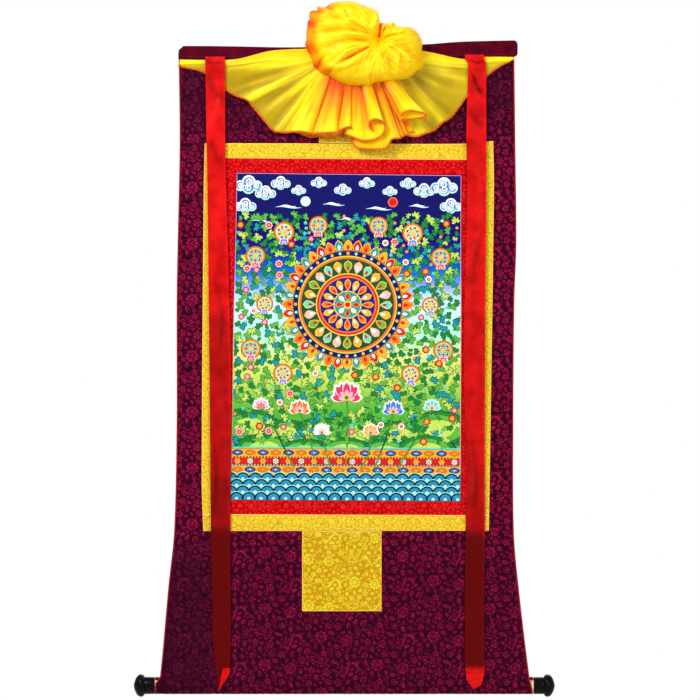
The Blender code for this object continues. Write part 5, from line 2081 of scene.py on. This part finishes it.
@dataclass
class Veil:
    """The silk veil: it falls in folds from a bunched rosette, and its hem is overlocked in orange."""

    sewn: Sewn
    thickness: float = 0.5
    across: int = 7
    down: int = 32
    drapes: tuple = (Drape(((-335, 27.4, 2.6, -58, 12, 20, 1.0, 0.6, 0.52), (-335, 34, 3.6, -59, 17, 20, 0.8,
        0.6, 0.45), (-333, 41, 2.7, -60, 22, 20, 0.45, 0.5, 0.2), (-287, 52, 3.9, -61, 27, 20, 0.2, 0.45,
        0.16), (-243, 87, 2.9, -61, 31, 20, 0, 0.3, 0.1), (-223, 99, 4.6, -60, 35, 20, 0, 0.35, 0.12), (-201,
        108, 10, -59, 39, 21, 0, 0.7, 0.42), (-189, 121, 4.2, -57, 42, 21, 0, 0.2, 0.06), (-169, 145, 8, -54,
        45, 21, 0, 0.45, 0.2), (-153, 164, 5, -50, 48, 22, 0, 0.3, 0.1), (-143, 171, 9, -48, 49, 22, 0, 0.6,
        0.35), (-128, 173, 5.5, -45, 50, 22, 0, 0.5, 0.3), (-108, 172, 16, -41, 51, 22, 0, 0.75, 0.42), (-84,
        173, 25, -36, 52, 26, 0, 0.8, 0.4), (-62, 179, 14, -30, 54, 24, 0, 1.0, 0.7), (-69, 176, 22, -28, 55,
        24, 0, 1.0, 0.55), (-50, 175, 27, -22, 57, 26, 0, 1.0, 0.45), (-30, 174, 29, -14, 60, 27, 0, 1.0,
        0.4), (-12, 173, 16, -5, 63, 24, 0, 1.0, 0.8), (-18, 170, 26, -2, 65, 25, 0, 1.0, 0.6), (3, 163, 30,
        5, 68, 25, 0, 0.9, 0.5), (9, 168, 18, 9, 69, 24, 0, 0.98, 0.8), (-5, 175, 20, 12, 69, 24, 0, 0.95,
        0.62), (11, 183, 24, 17, 70, 24, 0, 0.9, 0.5), (29, 190, 27, 24, 71, 24, 0, 0.9, 0.5), (49, 189, 29,
        31, 71, 24, 0, 0.9, 0.52), (67, 181, 32, 39, 71, 25, 0, 0.85, 0.55), (75, 165, 37, 46, 70, 27, 0,
        0.85, 0.5), (69, 153, 42, 42, 70, 30, 0, 0.75, 0.45), (55, 148, 45, 33, 70, 32, 0, 0.7, 0.42), (44,
        153, 42, 27, 70, 30, 0, 0.9, 0.6), (43, 163, 37, 28, 70, 28, 0, 0.95, 0.85), (51, 170, 33, 31, 70, 27,
        0, 0.95, 0.9)), ((-335, 27.4), (-225, 27), (-155, 11), (-83, 7), (-60, 7))), Drape(((5, 180, 10, 15,
        69, 19, 0, 0.9, 0.85), (11, 188, 13, 20, 70, 19, 0, 0.9, 0.8), (15, 201, 17, 27, 71, 19, 0, 0.9, 0.7),
        (29, 206, 19, 34, 71, 19, 0, 0.9, 0.62), (45, 207, 20, 41, 71, 20, 0, 0.9, 0.62), (73, 206, 24, 50,
        70, 21, 0, 0.9, 0.58), (83, 196, 26, 55, 69, 22, 0, 0.85, 0.5), (89, 187, 27, 60, 69, 23, 0, 0.8,
        0.48), (105, 185, 23, 66, 68, 22, 0, 0.9, 0.62), (98, 183, 16, 66, 67, 18, 0, 0.95, 0.9), (112, 181,
        20, 70, 66, 21, 0, 0.9, 0.7), (104, 179, 13, 70, 66, 17, 0, 0.95, 0.9), (120, 177, 18, 74, 66, 21, 0,
        0.9, 0.7), (112, 175, 11, 72, 65, 15, 0, 0.95, 0.9), (132, 172, 16, 80, 65, 20, 0, 0.9, 0.7))),
        Drape(((-108, 169, 5.5, -40, 53, 19, 0, 0.8, 0.6), (-92, 176, 9, -36, 54, 19, 0, 0.9, 0.6), (-74, 182,
        6.5, -32, 55, 19, 0, 1.0, 0.75), (-56, 180, 10.5, -27, 56, 19, 0, 1.0, 0.6), (-40, 184, 7, -22, 58,
        19, 0, 1.0, 0.8), (-24, 181, 11, -15, 60, 19, 0, 1.0, 0.65), (-4, 176, 7.5, -8, 62, 19, 0, 1.0,
        0.8))), Drape(((104, 151, 29, 62, 69, 25, 0, 0.95, 0.75), (116, 149, 32, 68, 68, 25, 0, 0.9, 0.6),
        (134, 147, 35, 76, 67, 26, 0, 0.85, 0.5), (148, 145, 38, 83, 66, 27, 0, 0.8, 0.48), (157, 140, 41, 88,
        66, 29, 0, 0.75, 0.45), (150, 136, 44, 87, 66, 31, 0, 0.7, 0.42), (137, 133, 46, 83, 66, 33, 0, 0.7,
        0.42), (122, 131, 46, 77, 67, 33, 0, 0.75, 0.42), (109, 137, 43, 70, 68, 31, 0, 0.9, 0.6), (106, 143,
        39, 68, 68, 30, 0, 0.95, 0.85))), Drape(((105, 168, 8, 76, 64, 13, 0, 0.95, 0.7), (118, 178, 8, 82,
        64, 14, 0, 0.8, 0.55), (137, 181, 7.5, 88, 64, 14, 0, 0.55, 0.4), (155, 175, 13, 97, 64, 16, 0, 0.35,
        0.3), (171, 169, 6.5, 106, 62, 17, 0, 0.2, 0.2), (190, 153, 13, 115, 60, 19, 0, 0.3, 0.3), (209, 140,
        5.2, 123, 56, 17, 0, 0.12, 0.15), (239, 100, 6.6, 131, 48, 19, 0, 0.2, 0.22), (279, 59, 2.9, 134, 42,
        17, 0.2, 0.3, 0.2), (305, 40, 3.8, 136, 35, 17, 0.45, 0.4, 0.22), (332, 27, 2.7, 137, 27, 17, 0.8,
        0.5, 0.4), (332, 22.2, 2.6, 138, 18, 17, 1.0, 0.55, 0.48)), ((120, 10), (151, 11), (234, 27), (273,
        22.2), (332, 22.2)), -1))
    pinch: tuple = (60.5, 5.8)
    # Outline of the rosette round its pinch: x and drop by turns
    outline: tuple = (148, 10, 149, 26, 149, 45, 138, 52, 129, 61, 119, 67, 96, 70, 73, 73, 53, 75, 46, 81,
        28, 81, 11, 80, -2, 78, -17, 73, -35, 61, -52, 55, -64, 46, -70, 35, -74, 21, -81, 11, -85, -0, -81,
        -13, -82, -28, -79, -45, -75, -52, -78, -59, -70, -68, -65, -76, -58, -71, -47, -75, -37, -81, -22,
        -86, -2, -88, 11, -87, 28, -82, 46, -75, 58, -70, 63, -61, 64, -50, 68, -45, 81, -44, 94, -45, 98,
        -39, 109, -38, 127, -36, 137, -29, 145, -18, 149, -5)
    # Folds of the rosette: path, half widths, height, and tone as painted shade where positive and painted
    # highlight where negative
    folds: tuple = tuple(Fold(*row) for row in (((48, -22, 21, -57, -15, -73), 15, 13, 4.5, -0.03), ((3, -48,
        -5, -66, -8, -83), 3.5, 3, -5, -0.2), ((46, -20, 56, -43, 58, -66), 5, 5, 3.5, -0.1), ((-12, -53, -32,
        -61, -54, -66), 3.5, 4, 3, -0.1), ((5, -45, -25, -52, -59, -55), 3.5, 3.5, -3.5, 0.16), ((53, -20, 11,
        -43, -29, -59, -60, -61), 5, 3, 4, -0.1), ((53, -17, 31, -33, -2, -41, -68, -37), 9, 4, 6, -0.1),
        ((53, -13, 21, -26, -24, -27, -67, -22), 4, 4, -4.5, 0.2), ((56, -9, 28, -18, -2, -18, -57, -3), 10,
        4, 6, -0.1), ((53, -6, 21, -8, -9, -5, -59, 13), 4, 4, -4.5, 0.18), ((53, -3, 24, -0, -2, 7, -30, 23),
        3, 3, 2.6, -0.04), ((51, -0, 31, 5, 8, 13, -12, 26), 2.5, 2.5, 2, -0.04), ((48, 2, 28, 13, 5, 26, -22,
        41), 3.5, 3, -7, 0.42), ((49, -0, 24, 7, -2, 18, -31, 43), 2, 3, 3.6, -0.1), ((53, 7, 34, 23, 5, 42,
        -32, 50), 9, 3.5, 6, -0.12), ((51, 16, 34, 35, 5, 65), 5, 5, -2.5, 0.12), ((53, 16, 41, 36, 40, 78),
        2.2, 2.2, 2.4, -0.06), ((49, 15, 31, 33, 26, 61), 2.2, 2.2, 2.2, -0.06), ((48, 56, 46, 70, 46, 79),
        2.5, 2.5, -2.2, 0.16), ((58, 5, 64, 26, 74, 71), 4.5, 5.5, 5, -0.12), ((68, 15, 82, 31, 85, 61), 7, 7,
        -4.5, 0.16), ((64, 2, 89, 7, 102, 26, 96, 66), 3.5, 3.5, 4.5, -0.1), ((104, 13, 111, 33, 114, 56), 6,
        6, -3, 0.1), ((72, -0, 101, 10, 121, 30, 137, 55), 5, 6, 5.5, -0.12), ((84, -3, 109, 5, 131, 20, 145,
        40), 7, 7, -4, 0.2), ((71, -7, 96, -11, 137, -12), 3, 3, 2.6, -0.08), ((69, -10, 84, -16, 114, -20),
        3, 3, -2.2, 0.1), ((68, -13, 87, -27, 132, -28), 8, 8, 4.5, -0.04), ((67, -15, 74, -28, 101, -37), 3,
        3, -2.5, 0.12), ((65, -17, 72, -32, 86, -43), 3.5, 3.5, 3, -0.04), ((62, -10, 65, -27, 65, -50), 3.2,
        3.6, -10, 0.4), ((69, -23, 74, -32, 78, -38), 2, 2, -3, 0.4), ((-45, 21, -54, 33, -60, 48), 2, 2, -2,
        0.3), ((-37, 23, -47, 38, -52, 53), 2.2, 2.2, 2, -0.05), ((-30, 50, -37, 55, -40, 60), 2, 2, -1.6,
        0.2)))
    rings: tuple = ((0.0, 45, 0.0), (0.06, 48, 0.5), (0.14, 55, 0.9), (0.25, 62, 1.0), (0.45, 69, 1.0), (0.65,
        69, 1.0), (0.82, 62, 1.0), (0.94, 46, 0.85), (1.0, 26, 0.6))

    def build(self) -> None:
        silk, rosette, hem = self.silk(), self.rosette(), self.hem()
        adopt(silk, "yellow_silk", "silk_veil")
        adopt(rosette, "yellow_silk")
        adopt(hem, "yellow_silk")

    def silk(self) -> Object:
        """The silk from its gathers out to its hem, in the lengths that overlap.

        Returns:
            The piece.
        """
        shapes, corners, tones, start = [], [], [], 0
        for drape in self.drapes:
            last = len(drape.rows) - 1
            fold, out = np.meshgrid(np.linspace(0, last, last * self.across + 1), np.linspace(0, 1, self.down
                + 1))
            middle, tone = drape.points(fold, out)
            shape, faces = thicken(middle, self.thickness * MM)
            shapes.append(shape)
            corners.append(faces + start)
            tones += [tone.ravel(), tone.ravel()]
            start += len(shape)
        return make_object("silk_swag", np.concatenate(shapes), np.concatenate(corners), SILK,
            values={TONE: np.concatenate(tones)}, sharp=180)

    def reach(self, angle: Array) -> Array:
        """How far the rosette's outline lies from the pinch, in millimetres, at angles in degrees.

        Args:
            angle: Angles in degrees.

        Returns:
            Distances in millimetres.
        """
        corners = np.reshape(self.outline, (-1, 2)) * (1, -1) - self.pinch
        around = np.degrees(np.arctan2(corners[:, 1], corners[:, 0])) % 360
        order = np.argsort(around)
        table = np.stack([around, np.hypot(*corners.T)], axis=1)[order]
        rounds = np.concatenate([table - (360, 0), table, table + (360, 0)])
        return along(rounds, np.asarray(angle) % 360)[:, 0].reshape(np.shape(angle))

    def rosette(self) -> Object:
        """The bunched silk: folds that run from the pinch to a frilled rim, closed at the back, with painted
        shade in the valleys and along the rim and painted highlights on the ridges.

        Returns:
            The piece.
        """
        many = 360
        turn = np.arange(many) * 360 / many
        share = np.concatenate([np.linspace(0.015, 0.2, 10), np.linspace(0.22, 0.93, 40), np.linspace(0.942,
            1.0, 7)])[:, None]
        full = self.reach(turn)
        around = np.radians(turn)
        rim_left = ease((turn - 132) / 20) * ease((222 - turn) / 20)
        rim_right = np.clip(ease((turn - 20) / 15) * ease((60 - turn) / 15), 0, 1)
        frill = (1 + (0.002 + 0.006 * rim_left) * np.sin(around * 33 + 2 * np.sin(around * 7)) * ease((share
            - 0.78) / 0.2))
        x = self.pinch[0] + full * share * np.cos(around) * frill
        up = self.pinch[1] + full * share * np.sin(around) * frill
        ring = along(self.rings, share)
        fall = 1 - 0.18 * (1 - np.clip(full / 130, 0, 1))
        lift, tone = ring[:, :1] * fall, np.full(x.shape, 0.5)
        # Each fold's tone: painted shade where positive, painted highlight where negative
        for fold in self.folds:
            there = fold.on(x, -up) * ring[:, 1:]
            lift, tone = lift + fold.height * there, tone + fold.tone * there
        fine = (np.sin(around * 19 + share * 9) + 0.8 * np.sin(around * 31 - share * 17 + 1) + 0.6
            * np.sin(around * 11 + share * 27 + 2)) * ease((1.02 - share) / 0.3)
        creased = (np.sin(around * 43 + share * 13 + 2 * np.sin(around * 3)) + np.sin(around * 57 - share
            * 21)) * ease(share / 0.3) * ease((1.0 - share) / 0.3)
        lift = lift + (0.7 * fine + 0.35 * creased) * ring[:, 1:]
        ruffle = np.sin(around * 29 + 3 * np.sin(around * 5)) * ease((share - 0.74) / 0.22)
        lift = lift + 2.6 * ruffle * (rim_left + 0.3 * rim_right)
        # Painted shade on the frilled left rim, less on its ruffles' crests, painted highlights where fine
        # folds and creases rise, and a touch of painted shade at the very rim
        tone = tone + rim_left * ease((share - 0.8) / 0.12) * (0.34 - 0.12
            * ruffle) - 0.02 * fine - 0.012 * creased
        tone = np.clip(tone + 0.05 * ease((share - 0.93) / 0.07), 0, 1)
        grid = np.stack([x, -lift, up], axis=2)
        back = np.stack([self.pinch[0] + (x[-1] - self.pinch[0]) * 0.96, np.full(many, -7.6), self.pinch[1]
            + (up[-1] - self.pinch[1]) * 0.96], axis=1)
        ends = np.array([(self.pinch[0] - 25, -7.6, self.pinch[1]), (self.pinch[0], -44.5, self.pinch[1])])
        points = np.concatenate([grid.reshape(-1, 3), back, ends]) * MM
        low = len(share) * many
        faces = tube_faces(len(share) + 1, many)[:, [0, 3, 2, 1]].tolist()
        faces += [(low + many + 1, k, (k + 1) % many) for k in range(many)]
        faces += [(low + many, low + (k + 1) % many, low + k) for k in range(many)]
        made = make_object("silk_rosette", points, faces, SILK, sharp=180,
            values={TONE: np.concatenate([tone.ravel(), np.full(many + 1, 0.6), [0.95]])})
        fix_outward(made)
        return made

    def hem(self) -> Object:
        """The overlock thread wound over the hem.

        Returns:
            The piece.
        """
        lines = []
        for drape in self.drapes:
            last = len(drape.rows) - 1
            ends = (1.6, last) if drape.top and drape.corner == 0 else (0, last - 1.4 * bool(drape.top))
            fold, out = np.meshgrid(np.linspace(*ends, 20 * last), np.linspace(0.99, 1, 2))
            lines.append(drape.points(fold, out)[0][-1])
        ring, tube = 7, 3
        around, across = np.meshgrid(np.arange(ring) * math.tau / ring, np.arange(tube) * math.tau / tube,
            indexing="ij")
        reach = 1.8 + 0.8 * np.cos(across)
        loop = np.stack([0.85 * np.sin(across) + 0.6 * np.cos(around), reach * np.cos(around), reach
            * np.sin(around)], axis=2).reshape(-1, 3) * MM
        faces = tube_faces(ring + 1, tube) % (ring * tube)
        holder = put_in("overlock_loop", plain_mesh("overlock_loop", loop, faces.tolist()))
        made = self.sewn.sew("silk_hem", lines, 2.5, holder, HEM_THREAD)
        bpy.data.objects.remove(holder)
        fix_outward(made)
        return made


@dataclass
class Roller:
    """The pine roller in its wrap, and its two lacquered knobs."""

    ends: tuple = (-385.0, 372.0)
    rod: tuple = ((0, 14.6), (0.6, ROLLER_RADIUS), (1.2, ROLLER_RADIUS), (378, ROLLER_RADIUS), (755.8,
        ROLLER_RADIUS), (756.4, ROLLER_RADIUS), (757, 14.6))
    # Turned outline of a knob: distance from the roller's end, radius
    profile: tuple = ((0, 16.2), (0.5, 16.8), (1.4, 17), (6, 17), (6.6, 16.5), (7.2, 17), (14, 17.05), (19,
        17), (19.8, 16.7), (20.6, 18.2), (22, 20.2), (23.5, 21.5), (25, 22.2), (27.5, 22.5), (29.5, 22.3),
        (32, 21.2), (34, 19.6), (35.8, 17.6), (37.4, 15.2), (38.8, 12.4), (40, 9.2), (41, 6), (41.7, 3), (42,
        0.8))
    sides: int = 48

    def build(self) -> None:
        """Makes the rod and the knobs."""
        rod = self.turned_piece("pine_rod", self.rod, self.ends[0], 1, PINE)
        adopt(rod, "pale_wood", "roller")
        for side, end, way in (("left", self.ends[0] - SEAM_GAP, -1), ("right", self.ends[1] + SEAM_GAP, 1)):
            knob = self.turned_piece(f"turned_knob_{side}", self.profile, end, way, LACQUER)
            adopt(knob, "black_lacquer", f"knob_{side}")

    def turned_piece(self, name: str, profile: tuple, start: float, way: int, finish: Finish) -> Object:
        """A piece turned on the roller's axis, closed at both ends.

        Args:
            name: The piece's name.
            profile: Rows of distance from its start, and radius.
            start: Where it starts on the axis, in millimetres.
            way: 1 to the viewer's right and -1 to the left.
            finish: What it is finished with.

        Returns:
            The object.
        """
        angle = np.arange(self.sides) * math.tau / self.sides
        rings = [np.stack([np.full(self.sides, start + way * at), WRAP_RADIUS + radius * np.cos(angle),
            -AXIS_DROP + radius * np.sin(angle)], axis=1) for at, radius in profile]
        points = np.concatenate(rings) * MM
        faces = tube_faces(len(profile), self.sides).tolist()
        faces += [tuple(range(self.sides)), tuple(range(len(points) - self.sides, len(points)))[::-1]]
        made = make_object(name, points, faces, finish, sharp=35)
        fix_outward(made)
        return made


@dataclass
class Studio:
    """The camera at the photograph's place, soft lights and a pale floor far below."""

    distance: float = 9.0
    aim: tuple = (0.005, 0.0, -0.607)
    lens: float = 231.9
    sky: float = 0.42
    # Name, place, size and power
    lamps: tuple = (("key", (-1.7, -2.3, 1.5), 1.2, 122.0), ("fill", (2.2, -2.8, 0.0), 2.2, 66.0), ("back",
        (0.6, 2.6, 0.8), 1.8, 40.0))
    floor_radius: float = 2.2
    floor_height: float = -1.75

    def build(self) -> None:
        """Makes the camera, the lights, the world and the floor."""
        scene = bpy.context.scene
        data = bpy.data.cameras.new("camera")
        data.sensor_width, data.lens = 36.0, self.lens
        data.clip_start, data.clip_end = 0.1, 60.0
        camera = put_in("camera", data)
        camera.location = (self.aim[0], -self.distance, self.aim[2])
        camera.rotation_euler = (math.radians(90), 0, 0)
        scene.camera = camera
        for name, place, size, power in self.lamps:
            lamp = bpy.data.lights.new(name, "AREA")
            lamp.energy, lamp.size = power, size
            thing = put_in(name, lamp)
            thing.location = place
            way = Vector(self.aim) - Vector(place)
            thing.rotation_euler = way.to_track_quat("-Z", "Y").to_euler()
        scene.view_settings.view_transform = "Standard"
        self.world()
        self.floor()

    def world(self) -> None:
        """Makes the white world, which lights the scroll less than it shows."""
        world = bpy.data.worlds.new("studio")
        bpy.context.scene.world = world
        world.use_nodes = True
        sky = world.node_tree.nodes["Background"]
        seen = add_node(world.node_tree, "LightPath").outputs["Is Camera Ray"]
        share = add_node(world.node_tree, "MapRange", {"Value": seen, "To Min": self.sky, "To Max": 1.0})
        world.node_tree.links.new(share.outputs[0], sky.inputs["Strength"])
        sky.inputs["Color"].default_value = linear("ffffff")

    def floor(self) -> None:
        """Makes the round floor."""
        mesh = bmesh.new()
        bmesh.ops.create_circle(mesh, cap_ends=True, segments=64, radius=self.floor_radius)
        data = bpy.data.meshes.new("floor")
        mesh.to_mesh(data)
        mesh.free()
        floor = put_in("floor", data)
        floor.location = (0, 0, self.floor_height)
        finish = bpy.data.materials.new("pale_floor")
        finish.use_nodes = True
        sockets = finish.node_tree.nodes["Principled BSDF"].inputs
        sockets["Base Color"].default_value = linear("e8e6e2")
        sockets["Roughness"].default_value = 0.8
        data.materials.append(finish)
        floor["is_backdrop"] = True


def main() -> None:
    """Builds every sub-assembly in order."""
    logging.basicConfig(level=logging.INFO, format="%(name)s: %(message)s")
    Studio().build()
    sewn = Sewn(repeat_recipe(), stitch_recipe())
    Ground(sewn).build()
    Frames(sewn).build()
    Picture(scatter_recipe()).build()
    Heading(sewn).build()
    Ribbons().build()
    Veil(sewn).build()
    Roller().build()
    sewn.clear()
    counts = {piece.name: sum(len(face.vertices) - 2 for face in piece.data.polygons)
        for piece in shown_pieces()}
    for name, triangles in counts.items():
        LOG.info("%s: %d triangles", name, triangles)
    LOG.info("all pieces: %d triangles", sum(counts.values()))


if __name__ == "__main__":
    main()
